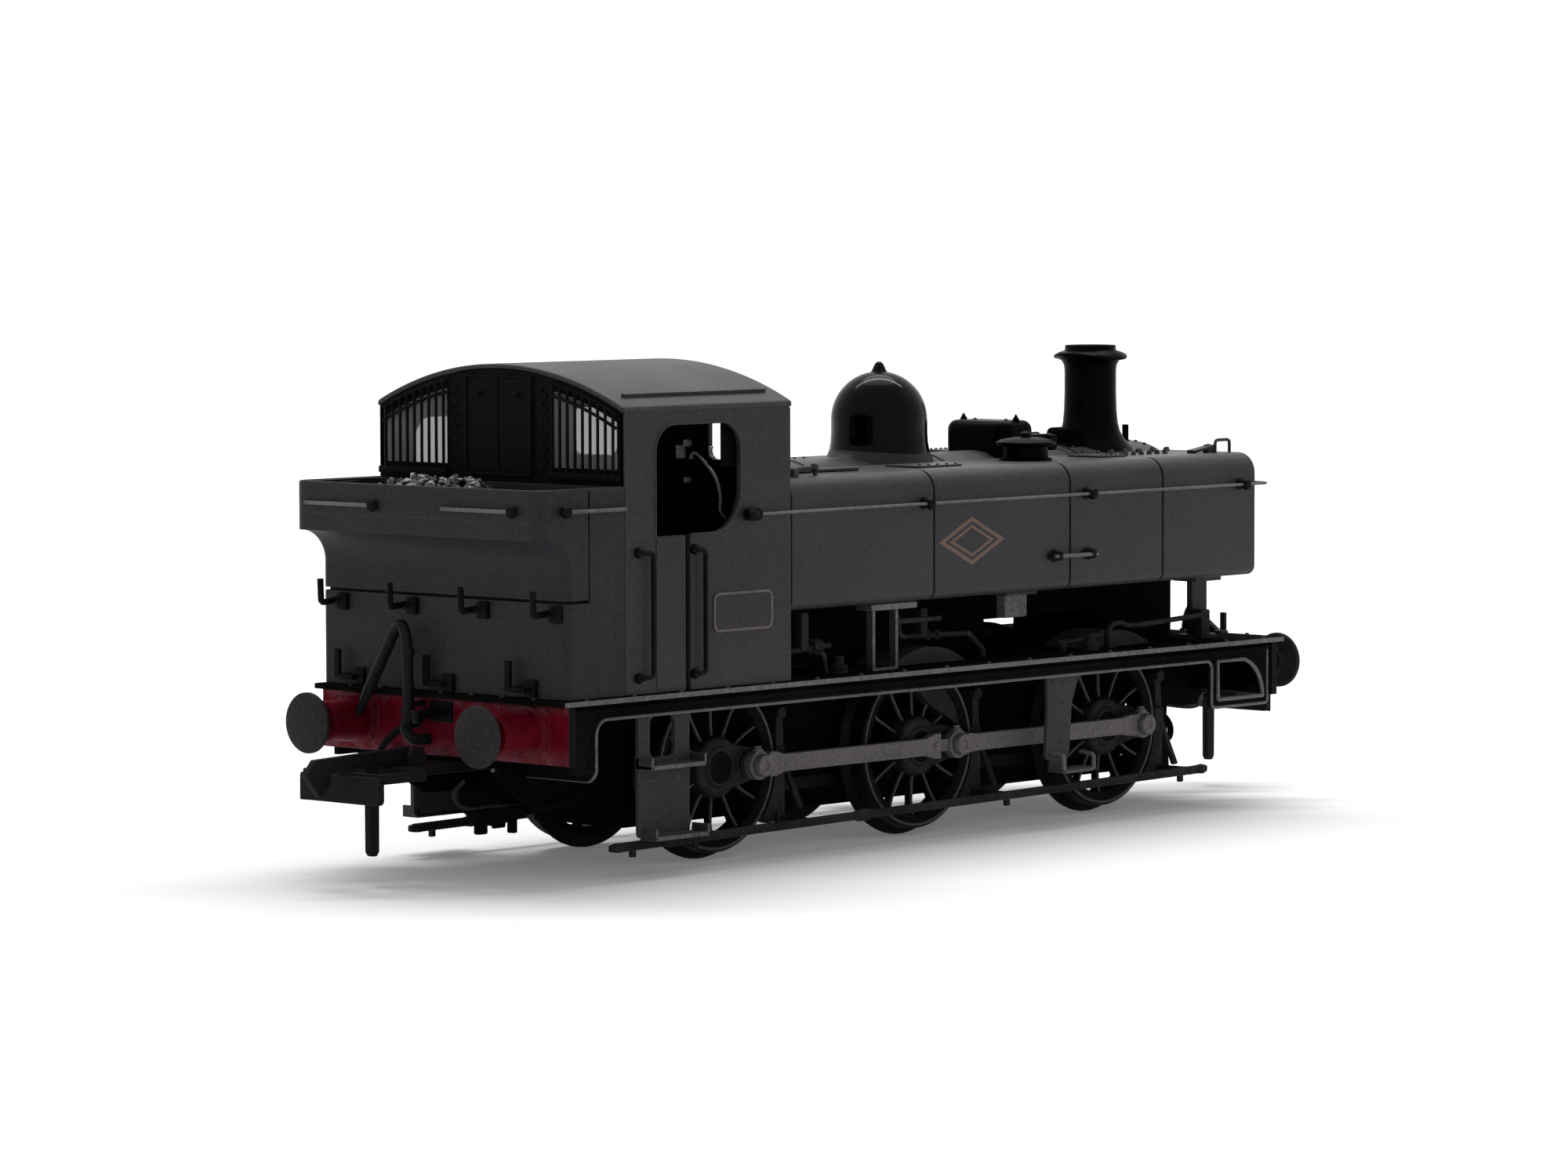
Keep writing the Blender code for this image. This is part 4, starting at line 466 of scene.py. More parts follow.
# near-black with almost no gloss: black paint, darkened further as painted shade under and between parts
frame_black = weathered("frame_black", (0.0012, 0.001, 0.001), (0.003, 0.0026, 0.0025), 0.7, specular=0.01,
                        road=0.06, wear_and_highlight=0.2, wear_and_highlight_colour=(0.03, 0.027, 0.025))
coupling_black = weathered("coupling_black", (0.008, 0.0065, 0.0088), (0.016, 0.013, 0.016), 0.5,
                           specular=0.04, wear_and_highlight=0.3, wear_and_highlight_colour=(0.05, 0.045, 0.05))
wire_grey = weathered("rail_wire", (0.055, 0.052, 0.054), (0.12, 0.115, 0.115), 0.45, 0.2, 0.25, grain=0.4)
hose_black = weathered("hose_rubber", (0.004, 0.004, 0.006), (0.011, 0.011, 0.014), 0.4, specular=0.07,
                       wear_and_highlight=0.3, wear_and_highlight_colour=(0.05, 0.05, 0.055))
wheel_black = weathered("wheel_black", (0.003, 0.0026, 0.0026), (0.008, 0.0073, 0.007), 0.6, specular=0.02,
                        wear_and_highlight=0.6, wear_and_highlight_colour=(0.09, 0.083, 0.08))
tyre_steel = weathered("tyre_steel", (0.0035, 0.003, 0.003), (0.008, 0.0075, 0.007), 0.5, 0.1, 0.08,
                       grain=0.3)
# pale grey for thin painted highlight lines on the spoke ridges and the tyre's outer ring
spoke_highlight_grey = weathered("spoke_highlight_grey", (0.055, 0.051, 0.050), (0.105, 0.098, 0.095), 0.55, specular=0.1,
                       grain=0.5)
hub_grey = weathered("hub_grey", (0.006, 0.0055, 0.005), (0.034, 0.031, 0.030), 0.55, specular=0.04,
                     wear_and_highlight=0.8, wear_and_highlight_colour=(0.13, 0.12, 0.115), blotch=260.0)
rod_steel = weathered("rod_steel", (0.082, 0.075, 0.073), (0.145, 0.134, 0.130), 0.5, 0.1, 0.1, grain=0.5,
                      wear_and_highlight=0.6, wear_and_highlight_colour=(0.2, 0.185, 0.175), relief=0.2)
bright_steel = weathered("bright_steel", (0.32, 0.31, 0.30), (0.5, 0.49, 0.47), 0.3, 0.95, 0.5, grain=0.4)
head_steel = weathered("buffer_head_steel", (0.014, 0.0125, 0.014), (0.027, 0.024, 0.026), 0.6,
                       specular=0.08, grain=0.5, dust_and_sheen=0.1, wear_and_highlight=0.4, wear_and_highlight_colour=(0.09, 0.085, 0.085))
brass = weathered("brass", (0.42, 0.27, 0.09), (0.62, 0.43, 0.17), 0.3, 0.95, 0.5, grain=0.3)
tarnish = weathered("tarnished_strip", (0.003, 0.0024, 0.0018), (0.007, 0.0055, 0.004), 0.6, 0.2, 0.1)
cream = weathered("cab_cream", (0.50, 0.47, 0.40), (0.66, 0.63, 0.55), 0.5, grain=0.2)
plate_edge = weathered("plate_edging", (0.075, 0.06, 0.058), (0.12, 0.098, 0.092), 0.5, grain=0.4)
lozenge_gilt = weathered("lozenge_gilt", (0.085, 0.052, 0.040), (0.14, 0.088, 0.066), 0.5, grain=0.4)


def beam_finish():
    """Crimson paint, dirty in the middle and dusted pink along its edges."""
    f = Finish("beam_crimson", 0.55, specular=0.04)
    cloud = f.noise(300.0, 4.0, 0.65)
    tone = f.mix(f.spread(cloud, 0.3, 0.7), (0.070, 0.0010, 0.006), (0.165, 0.003, 0.016))
    low = f.spread(f.height(), 0.0132, 0.0116)
    high = f.spread(f.height(), 0.0160, 0.0167)
    patchy = f.spread(f.noise(520.0, 4.0), 0.36, 0.6)
    dusty = f.combine("MULTIPLY", f.combine("MAXIMUM", low, high), patchy)
    tone = f.mix(f.combine("MULTIPLY", dusty, 0.75), tone, (0.20, 0.072, 0.085))
    # pale pink along sharp edges: partly wear, partly a painted highlight
    tone = f.mix(f.combine("MULTIPLY", f.edges(0.14), 0.5), tone, (0.22, 0.07, 0.08))
    f.bump(f.noise(700.0, 3.0), 0.15, 0.06)
    return f.colour(tone)


def glazing_finish():
    """Clear plastic with a milky bloom."""
    f = Finish("window_glazing", 0.2, specular=0.3)
    f.shader.inputs["Alpha"].default_value = 0.55
    bloom = f.spread(f.noise(70.0, 2.0), 0.3, 0.7)
    return f.colour(f.mix(bloom, (0.25, 0.25, 0.265), (0.34, 0.34, 0.355)))


def coal_finish():
    """Black lumps, with pale painted glints on some small faces."""
    f = Finish("coal", 0.35, specular=0.5)
    facet = f.node("TexVoronoi", {"Vector": f.coords, "Scale": 1500.0})
    tone = f.mix(f.spread(f.noise(500.0, 4.0), 0.35, 0.7), (0.006, 0.006, 0.007), (0.028, 0.027, 0.028))
    # painted glints: pale patches on some facets
    painted_glint = f.spread(f.combine("MULTIPLY", facet.outputs["Color"], f.noise(220.0)), 0.40, 0.47)
    tone = f.mix(painted_glint, tone, (0.42, 0.41, 0.42))
    f.feed(f.shader.inputs["Roughness"], f.spread(facet.outputs["Color"], 0.0, 1.0, 0.18, 0.55))
    f.bump(facet.outputs["Distance"], 0.5, 0.15)
    return f.colour(tone)


beam_crimson = beam_finish()
glazing = glazing_finish()
coal = coal_finish()


# camera, floor and light
LIGHT_WAY = Vector((0.30, 0.275, 0.914)).normalized()


def stand(name, data, matrix=None):
    """Puts a camera, a light or the floor in the scene."""
    obj = bpy.data.objects.new(name, data)
    if matrix:
        obj.matrix_world = matrix
    bpy.context.scene.collection.objects.link(obj)
    return obj


def set_camera():
    """The view of the photograph, solved from the buffers and the axles."""
    spot = Vector((-0.437807, -0.395825, 0.063933))
    yaw, pitch, roll = (math.radians(a) for a in (42.489616, 3.820746, -0.141412))
    ahead = Vector((math.cos(yaw) * math.cos(pitch), math.sin(yaw) * math.cos(pitch), -math.sin(pitch)))
    flat = Vector((math.sin(yaw), -math.cos(yaw), 0.0))
    over = flat.cross(ahead)
    right = flat * math.cos(roll) + over * math.sin(roll)
    up = over * math.cos(roll) - flat * math.sin(roll)
    lens = bpy.data.cameras.new("camera")
    lens.sensor_fit = "HORIZONTAL"
    lens.sensor_width = 36.0
    lens.lens = 135.18
    lens.clip_start = 0.01
    lens.clip_end = 60.0
    turn = Matrix((right, up, -ahead)).transposed().to_4x4()
    bpy.context.scene.camera = stand("camera", lens, Matrix.Translation(spot) @ turn)
    bpy.context.scene.view_settings.view_transform = "Standard"


def white_rays(tree):
    """1 for the rays that should see the white background."""
    path = tree.nodes.new("ShaderNodeLightPath")
    seen = path.outputs["Is Camera Ray"]
    for kind in ("Is Glossy Ray", "Is Transmission Ray"):
        either = tree.nodes.new("ShaderNodeMath")
        either.operation = "MAXIMUM"
        tree.links.new(seen, either.inputs[0])
        tree.links.new(path.outputs[kind], either.inputs[1])
        seen = either.outputs["Value"]
    return seen


def lay_floor():
    """Pale matt paper that keeps the shadow, and fades to the white background further off."""
    bm = bmesh.new()
    bmesh.ops.create_grid(bm, x_segments=1, y_segments=1, size=20.0)
    mesh = bpy.data.meshes.new("floor")
    bm.to_mesh(mesh)
    bm.free()
    paper = bpy.data.materials.new("floor_paper")
    paper.use_nodes = True
    tree = paper.node_tree
    tree.nodes.clear()
    out = tree.nodes.new("ShaderNodeOutputMaterial")
    add = tree.nodes.new("ShaderNodeAddShader")
    matt = tree.nodes.new("ShaderNodeBsdfDiffuse")
    matt.inputs["Color"].default_value = (0.955, 0.955, 0.97, 1.0)
    glow = tree.nodes.new("ShaderNodeEmission")
    reach = tree.nodes.new("ShaderNodeVectorMath")
    reach.operation = "LENGTH"
    far = tree.nodes.new("ShaderNodeMapRange")
    for name, value in (("From Min", 0.15), ("From Max", 0.9), ("To Min", 0.12), ("To Max", 0.5)):
        far.inputs[name].default_value = value
    seen = tree.nodes.new("ShaderNodeMath")
    seen.operation = "MULTIPLY"
    coords = tree.nodes.new("ShaderNodeTexCoord")
    for source, socket in ((coords.outputs["Object"], reach.inputs[0]),
                           (reach.outputs["Value"], far.inputs["Value"]), (white_rays(tree), seen.inputs[0]),
                           (far.outputs["Result"], seen.inputs[1]),
                           (seen.outputs["Value"], glow.inputs["Strength"]),
                           (matt.outputs["BSDF"], add.inputs[0]), (glow.outputs["Emission"], add.inputs[1]),
                           (add.outputs["Shader"], out.inputs["Surface"])):
        tree.links.new(source, socket)
    mesh.materials.append(paper)
    stand("floor", mesh)


def hang_lights():
    """An even pale surround, a soft overhead light and a narrow strip for the highlights."""
    world = bpy.data.worlds.new("studio")
    world.use_nodes = True
    bpy.context.scene.world = world
    tree = world.node_tree
    sky = tree.nodes["Background"]
    sky.inputs["Color"].default_value = (1.0, 1.0, 1.0, 1.0)
    level = tree.nodes.new("ShaderNodeMapRange")
    level.inputs["To Min"].default_value = 0.33
    level.inputs["To Max"].default_value = 1.0
    tree.links.new(white_rays(tree), level.inputs["Value"])
    tree.links.new(level.outputs["Result"], sky.inputs["Strength"])

    strip = bpy.data.lights.new("strip_box", "AREA")
    strip.shape = "RECTANGLE"
    strip.size = 1.0
    strip.size_y = 0.02
    strip.energy = 3.0
    along = Vector((0.675, -0.737, 0.0)).normalized()
    turn = Matrix((along, LIGHT_WAY.cross(along), LIGHT_WAY)).transposed().to_4x4()
    stand("strip_box", strip, Matrix.Translation(LIGHT_WAY * 0.8) @ turn)

    lamp = bpy.data.lights.new("overhead", "SUN")
    lamp.energy = 1.2
    lamp.angle = math.radians(44)
    stand("overhead", lamp).rotation_euler = LIGHT_WAY.to_track_quat("Z", "Y").to_euler()


set_camera()
lay_floor()
hang_lights()


# wheels, rods and brakes
def make_wheel(axle, side):
    """Tyre, rim, spokes, hub and crank web; the crank points along +x until the wheel is set in place."""
    tyre = turned([(7.64, 7.25), (8.72, 7.25), (8.95, 7.42), (9.0, 7.62), (8.8, 7.86), (8.42, 8.02),
                   (8.25, 8.2), (8.25, 9.9), (8.12, 10.05), (7.74, 10.05), (7.66, 9.94)], "y", segs=80,
                  closed=True)
    rim = turned([(6.95, 7.5), (7.1, 7.36), (7.66, 7.36), (7.66, 9.92), (7.56, 10.02), (7.1, 9.98),
                  (6.92, 9.82)], "y", segs=80, closed=True)
    parts = [tint(tyre, 1), rim]
    for i in range(12):
        spoke = wire([(2.2, 0, 0), (3.4, 0, 0), (5.6, 0, 0), (6.5, 0, 0), (7.1, 0, 0)], 1.0, 8,
                     [0.66, 0.5, 0.42, 0.46, 0.66])
        bmesh.ops.scale(spoke, vec=(1, 2.1, 1), verts=spoke.verts[:])
        parts.append(swung(moved(spoke, (0, 8.75, 0)), "Y", 30 * i))
        # a thin ridge on each spoke carries a painted highlight line
        highlight_ridge = wire([(2.4, 9.42, 0), (3.6, 9.24, 0), (5.6, 9.18, 0), (7.0, 9.4, 0)], 0.26, 6)
        parts.append(tint(swung(highlight_ridge, "Y", 30 * i), 2))
    # a thin ring at the tyre's outer edge carries a painted highlight
    ring = [(7.76, 9.98), (8.02, 9.98), (8.02, 10.1), (7.94, 10.16), (7.84, 10.16), (7.76, 10.1)]
    parts.append(tint(turned(ring, "y", segs=80, closed=True), 2))
    hub = turned([(1.52, 7.3), (2.5, 7.3), (2.6, 7.45), (2.6, 9.7), (2.2, 10.3), (2.05, 10.52), (1.85, 10.6),
                  (1.58, 10.6), (1.52, 10.5)], "y", segs=40, closed=True)
    web = arc(0, 0, 3.0, 48, 312, 20) + arc(CRANK, 0, 1.75, -72, 72, 12)
    boss = turned([(0.72, 10.2), (1.5, 10.2), (1.5, 10.8), (1.4, 10.9), (0.8, 10.9), (0.72, 10.82)], "y",
                  (CRANK, 0, 0), 28, True)
    parts += [tint(part, 3) for part in (hub, slab(web, "y", 8.3, 10.35, soft=0.45, steps=4), boss)]
    if axle == "middle":
        outer = arc(0, 0, 6.98, 12, 102, 18)
        inner = []
        for i in range(19):
            t = i / 18
            r = 6.9 - 2.35 * math.sin(math.pi * t) ** 0.8
            a = math.radians(102 - 90 * t)
            inner.append((r * math.cos(a), r * math.sin(a)))
        parts.append(tint(slab(outer + inner[1:-1], "y", 8.0, 9.75, soft=0.15), 3))
    wheel = gather(*parts)
    swung(wheel, "Y", 0 if side == "right" else -90)
    if side == "right":
        wheel = flipped(wheel)
    return moved(wheel, (AXLES[axle], 0, AXLE_Z))


def make_pin(axle, side):
    profile = [(0, 9.0), (0.7, 9.0), (0.7, 10.92), (1.3, 10.92), (1.3, 10.98), (0.7, 10.98), (0.7, 12.02),
               (1.0, 12.02), (1.1, 12.1), (1.1, 12.55), (1.0, 12.7), (0.75, 12.76), (0.42, 12.76),
               (0.34, 12.62), (0, 12.62)]
    pin = turned(profile, "y", segs=24)
    if side == "right":
        return moved(flipped(pin), (AXLES[axle] + CRANK, 0, AXLE_Z))
    return moved(pin, (AXLES[axle], 0, AXLE_Z + CRANK))


def make_rod(side):
    """Coupling rod in two lengths, jointed behind the middle crank pin."""
    shift = CRANK if side == "right" else 0.0
    a, b, c = (x + shift for x in AXLES.values())
    parts = []
    for x in (a, b, c):
        eye = [(0.73, 11.02), (1.3, 11.0), (1.43, 11.1), (1.45, 11.5), (1.43, 11.88), (1.3, 11.97),
               (0.98, 11.97), (0.9, 11.86), (0.8, 11.86), (0.73, 11.78)]
        parts.append(turned(eye, "y", (x, 0, 0), 36, True))
        parts.append(turned([(0, 1.2), (0.55, 1.2), (0.55, 1.55), (0.36, 1.62), (0.36, 1.85), (0, 1.9)], "z",
                            (x, 11.5, 0), 12))
    back = [(a + 0.9, 0.6), (a + 1.5, 1.22), (a + 2.3, 1.22), (a + 3.4, 0.86), (b - 5.0, 0.86),
            (b - 3.7, 1.26), (b - 2.75, 1.26)]
    front = [(b + 1.0, 0.9), (b + 1.8, 1.0), (b + 2.9, 0.86), (c - 3.6, 0.86), (c - 2.2, 1.1),
             (c - 1.0, 1.1)]
    for bar in (back, front):
        outline = bar + [(x, -z) for x, z in reversed(bar)]
        parts.append(slab(outline, "y", 11.02, 11.94, soft=0.1))
    parts.append(block((b - 3.3, b - 1.1), (11.22, 11.72), (-0.62, 0.62), 0.12))
    knuckle = [(0, 11.0), (0.5, 11.0), (0.5, 12.0), (0.42, 12.08), (0, 12.08)]
    parts.append(turned(knuckle, "y", (b - 3.4, 0, 0), 16))
    rod = gather(*parts)
    if side == "right":
        return moved(flipped(rod), (0, 0, AXLE_Z))
    return moved(rod, (0, 0, AXLE_Z + CRANK))


def pull_rod_z(x):
    """Height of the brake pull rod, which climbs a little towards the front."""
    return 2.95 + 0.95 * (x + 37.28) / 82.16


def make_brakes():
    """Shoes on hangers ahead of each wheel, and the pull rod outside the wheels, on the left."""
    parts = []
    bar = [(-44.6, 0.3), (-43.9, 0.42), (-37.3, 0.42), (-36.4, 0.55), (-34.5, 0.42), (-10.2, 0.4),
           (-9.8, 0.58), (-8.3, 0.58), (-7.9, 0.4), (11.6, 0.4), (43.2, 0.42), (44.2, 0.5), (44.88, 0.3)]
    outline = [(x, pull_rod_z(x) + h) for x, h in bar] + [(x, pull_rod_z(x) - h) for x, h in reversed(bar)]
    parts.append(slab(outline, "y", 13.21, 13.81, soft=0.12))
    for x in (-43.6, -36.4, -34.6, -9.05, 41.9, 43.9):
        stud = [(0, 13.1), (0.42, 13.1), (0.42, 13.9), (0.3, 13.98), (0, 13.98)]
        parts.append(turned(stud, "y", (x, 0, pull_rod_z(x)), 12))
    for x in (-41.6, -33.0, 12.7, 40.6):
        z = pull_rod_z(x)
        parts.append(block((x - 0.32, x + 0.32), (13.28, 13.74), (z - 1.05, z), 0.1))
    for x in AXLES.values():
        arm = x + 9.65
        foot = pull_rod_z(arm)
        shoe = arc(x, AXLE_Z, 8.62, -38, 8, 12) + arc(x, AXLE_Z, 10.0, 8, -38, 12)
        parts.append(slab(shoe, "y", 8.25, 9.9, soft=0.15))
        stay = [(arm + 0.9, 9.0), (arm + 1.5, 9.0), (arm + 4.2, 4.0), (arm + 3.5, 3.9)]
        parts.append(slab(stay, "y", 8.3, 8.8, soft=0.1))
        hanger = [(arm - 0.42, 13.9), (arm + 0.42, 13.9), (arm + 0.66, 9.5), (arm + 0.78, foot + 0.2),
                  (arm + 0.55, foot - 0.35), (arm - 0.1, foot - 0.35), (arm - 0.3, foot + 0.3),
                  (arm - 0.45, 9.5)]
        parts.append(slab(hanger, "y", 8.75, 9.4, soft=0.1))
        parts.append(wire([(arm + 0.2, 8.4, foot), (arm + 0.2, 13.85, foot)], 0.72, 12))
        parts.append(wire([(arm, 6.36, 13.6), (arm, 9.6, 13.6)], 0.8, 12))
        parts.append(hexnut((arm, 9.62, 13.6), "y", 1.1, 0.4))
        parts.append(hexnut((arm - 0.15, 9.55, 8.4), "y", 1.0, 0.35))
    return gather(*parts)


def build_running_gear():
    for axle, x in AXLES.items():
        body = f"{axle}_wheelset"
        for side in SIDES:
            piece(f"spoked_wheel_{axle}_{side}", [make_wheel(axle, side)],
                  [wheel_black, tyre_steel, spoke_highlight_grey, hub_grey], body,
                  [f"wheel_{axle}_{side}"])
            piece(f"crank_pin_bolt_{axle}_{side}", [make_pin(axle, side)], [rod_steel], body,
                  [f"crank_pin_{axle}_{side}"])
        shaft = [(0, -10.45), (0.35, -10.6), (1.35, -10.6), (1.5, -10.45), (1.5, 10.45), (1.35, 10.6),
                 (0.35, 10.6), (0, 10.45)]
        piece(f"wheel_axle_{axle}", [turned(shaft, "y", (x, 0, AXLE_Z), 32)], [wheel_black], body,
              [f"axle_{axle}"])
    for side in SIDES:
        piece(f"side_rod_{side}", [make_rod(side)], [rod_steel], f"rod_{side}",
              [f"coupling_rod_{side}"])
    left = make_brakes()
    piece("brake_rigging_right", [flipped(left)], [hub_grey], stands_for=["brake_gear_right"])
    piece("brake_rigging_left", [left], [hub_grey], stands_for=["brake_gear_left"])


build_running_gear()


# running plate, steps and beams
def tread_tray(x0, x1, z):
    """A step tread with turned-up ends, pale along its outer edge from wear and a painted highlight."""
    tray = [block((x0, x1), STEP_REACH, (z, z + 0.42), 0.08),
            block((x0, x0 + 0.3), STEP_REACH, (z, z + 1.15), 0.07),
            block((x1 - 0.3, x1), STEP_REACH, (z, z + 1.15), 0.07)]
    return [lined(part, (0, 1, 0), 1) for part in tray]


def side_valance():
    """Hanging edge of the plate on the left, its drops at both ends and the cross plate at the rear one."""
    end = 52.14
    outline = [(-end, 17.1), (-end, DROP_LOW)]
    outline += rounded([(-end, DROP_LOW), (REAR_DROP, DROP_LOW), (REAR_DROP, VALANCE_LOW),
                        (FRONT_DROP, VALANCE_LOW), (FRONT_DROP, DROP_LOW), (end, DROP_LOW)],
                       [0, 0.2, 1.5, 0.8, 0.5, 0], 6)[1:]
    outline += [(end, 17.1)]
    opening = [(43.75, 11.3)] + arc(47.2, 11.3, 4.1, 0, 78, 10) + [(43.75, 15.3)]
    # the valance, its cross plate, ledge and rivets take the deck's near-black painted shade
    parts = [tint(slab(outline, "y", 15.4, 16.0, [opening]), 2)]
    # the second point comes twice, so that the wire turns squarely there
    rim = [(x, 16.0, z) for x, z in opening[:2] + opening[1:] + opening[:1]]
    # the rim round the opening is pale from wear and a painted highlight
    parts.append(tint(wire(rim, 0.42, 8), 1))
    y, low = 15.98, 9.65
    edge = rounded([(REAR_DROP, 6.9, low), (REAR_DROP, y, low), (REAR_DROP, y, VALANCE_LOW),
                    (FRONT_DROP, y, VALANCE_LOW), (FRONT_DROP, y, DROP_LOW), (52.1, y, DROP_LOW),
                    (52.1, y, 16.5)], [0, 1.2, 1.5, 0.8, 0.5, 0.4, 0], 6, False)
    # the edge wire is pale from wear and a painted highlight
    parts.append(tint(wire(edge, 0.32, 8), 1))
    cross = rounded([(6.9, 9.6), (15.9, 9.6), (15.9, 16.9), (6.9, 16.9)], [0.2, 1.2, 0, 0.2], 6)
    parts.append(tint(slab(cross, "x", REAR_DROP - 0.3, REAR_DROP + 0.1, soft=0.08), 2))
    parts.append(tint(block((-51.9, 51.9), (15.9, 16.35), (16.1, 16.5), 0.12), 2))
    parts.append(tint(rivets([(x, 16.0, 15.8) for x in range(-46, 43, 3)], (0, 1, 0), 0.42, 0.12), 2))
    return parts


def cab_step():
    """Plate below the cab with two treads, on the left."""
    opening = plate_outline(-41.15, -37.75, 11.3, 15.2, 0.7)
    leg = rounded([(-42.65, 16.9), (-42.65, 3.8), (-35.75, 3.8), (-35.75, 16.9)], [0, 0.5, 0.5, 0])
    parts = [slab(leg, "y", *STEP_PLATE, [opening], 0.08)]
    parts += tread_tray(-42.65, -35.15, 10.3)
    parts += tread_tray(-42.1, -34.75, 3.6)
    spots = [(-42.1, 9.3), (-41.4, 9.3), (-40.7, 9.3), (-37.4, 9.3), (-36.75, 12.2), (-36.75, 13.3),
             (-36.75, 14.3), (-37.3, 12.5)]
    parts.append(rivets([(x, STEP_PLATE[1], z) for x, z in spots], (0, 1, 0), 0.45, 0.18))
    return parts


def front_step():
    """Narrow plate between the wheels with its stirrup, on the left."""
    leg = [(16.75, 16.9), (16.9, 12.0), (16.6, 7.3), (16.9, 6.9), (19.9, 6.9), (20.35, 7.6), (20.7, 12.4),
           (21.6, 14.6), (22.6, 15.6), (22.6, 16.9)]
    parts = [slab(leg, "y", *STEP_PLATE, soft=0.08)]
    stirrup = rounded([(17.6, 15.2, 7.6), (17.6, 16.9, 7.4), (17.6, 16.9, 5.75), (22.3, 16.9, 5.75),
                       (22.3, 16.9, 7.2), (22.3, 15.2, 7.4)], 0.25, 3, False)
    # the stirrup takes the same pale finish: wear and a painted highlight
    parts.append(tint(wire(stirrup, 0.45, 8), 1))
    parts.append(block((17.3, 22.6), STEP_REACH, (5.6, 5.98), 0.08))
    parts.append(block((17.4, 20.0), STEP_PLATE, (5.6, 7.3), 0.08))
    spots = [(17.6, 14.6), (19.2, 14.5), (17.8, 13.4), (17.5, 12.6), (19.2, 12.5), (18.9, 10.4), (18.8, 8.6),
             (17.4, 10.6)]
    parts.append(rivets([(x, STEP_PLATE[1], z) for x, z in spots], (0, 1, 0), 0.5, 0.18))
    return parts


def splasher(x):
    """A hood over the top of one wheel."""
    lift = math.degrees(math.asin((17.3 - AXLE_Z) / 10.0))
    hood = arc(x, AXLE_Z, 10.0, lift, 180 - lift, 24) + arc(x, AXLE_Z, 9.5, 180 - lift, lift, 24)
    cheek = arc(x, AXLE_Z, 9.9, lift, 180 - lift, 24)
    return [slab(hood, "y", 6.25, 11.65, soft=0.1), slab(cheek, "y", 11.2, 11.6, soft=0.08),
            slab(cheek, "y", 6.25, 6.7, soft=0.08)]


def footplate_posts():
    """Brackets, valve chest and lamp iron that stand on the plate on the left, up to the tank."""
    window = slab(plate_outline(-8.58, -4.82, 17.3, 23.9, 0.25), "y", 13.6, 14.4,
                  [plate_outline(-8.2, -5.2, 17.65, 23.5, 0.2)], 0.1)
    return [block((45.5, 48.0), (10.4, 11.2), (17.2, 23.95), 0.12),
            block((44.6, 48.9), (9.2, 12.4), (23.4, TANK_UNDER), 0.12),
            block((44.9, 48.6), (9.6, 12.0), (17.35, 17.8), 0.12),
            # the bracket frames' outward faces take the pale finish, a painted highlight on their lit edges
            # with wear
            lined(window, (0, 1, 0), 1),
            lined(block((-9.5, -2.7), (12.9, 15.1), (23.35, TANK_UNDER), 0.15), (0, 1, 0), 1),
            tint(block((13.5, 17.0), (11.4, 12.6), (21.3, TANK_UNDER), 0.2), 1),
            block((12.9, 17.6), (10.8, 13.4), (23.6, TANK_UNDER), 0.12),
            block((53.3, 53.65), (8.7, 9.4), (17.3, 19.6), 0.08),
            block((52.6, 53.65), (8.5, 9.6), (17.3, 17.7), 0.08)]


def build_plate():
    holes = []
    for s in SIDES.values():
        for x in AXLES.values():
            near, far = sorted((s * 6.75, s * 10.6))
            holes.append([(x - 5.3, near), (x + 5.3, near), (x + 5.3, far), (x - 5.3, far)])
    holes.append([(-20.0, -5.3), (6.5, -5.3), (6.5, 5.3), (-20.0, 5.3)])
    deck = slab(plate_outline(-53.9, 53.9, -17.0, 17.0, 0.3, 3), "z", 16.9, DECK_TOP, holes, 0.1)
    # the deck top takes the near-black painted shade
    tint(deck, 2)
    # the deck's outer sides take the pale finish: wear and a painted highlight
    for s in (-1, 1):
        lined(deck, (0, s, 0), 1)
    bolts = [(x * 6.35, s * 16.55, DECK_TOP) for x in range(-8, 9) for s in (-1, 1)]
    bolts += [(s * 53.4, y * 4.1, DECK_TOP) for y in range(-3, 4) for s in (-1, 1)]
    edge = gather(*side_valance(), *cab_step(), *front_step())
    hoods = gather(*[part for x in AXLES.values() for part in splasher(x)])
    posts = gather(*footplate_posts())
    piece("footplate", [deck, rivets(bolts, (0, 0, 1), 0.6, 0.18), both(edge), both(hoods), both(posts)],
          [plate_black, pale_edge_wear_and_highlight, deck_shade_black], stands_for=["running_plate"])


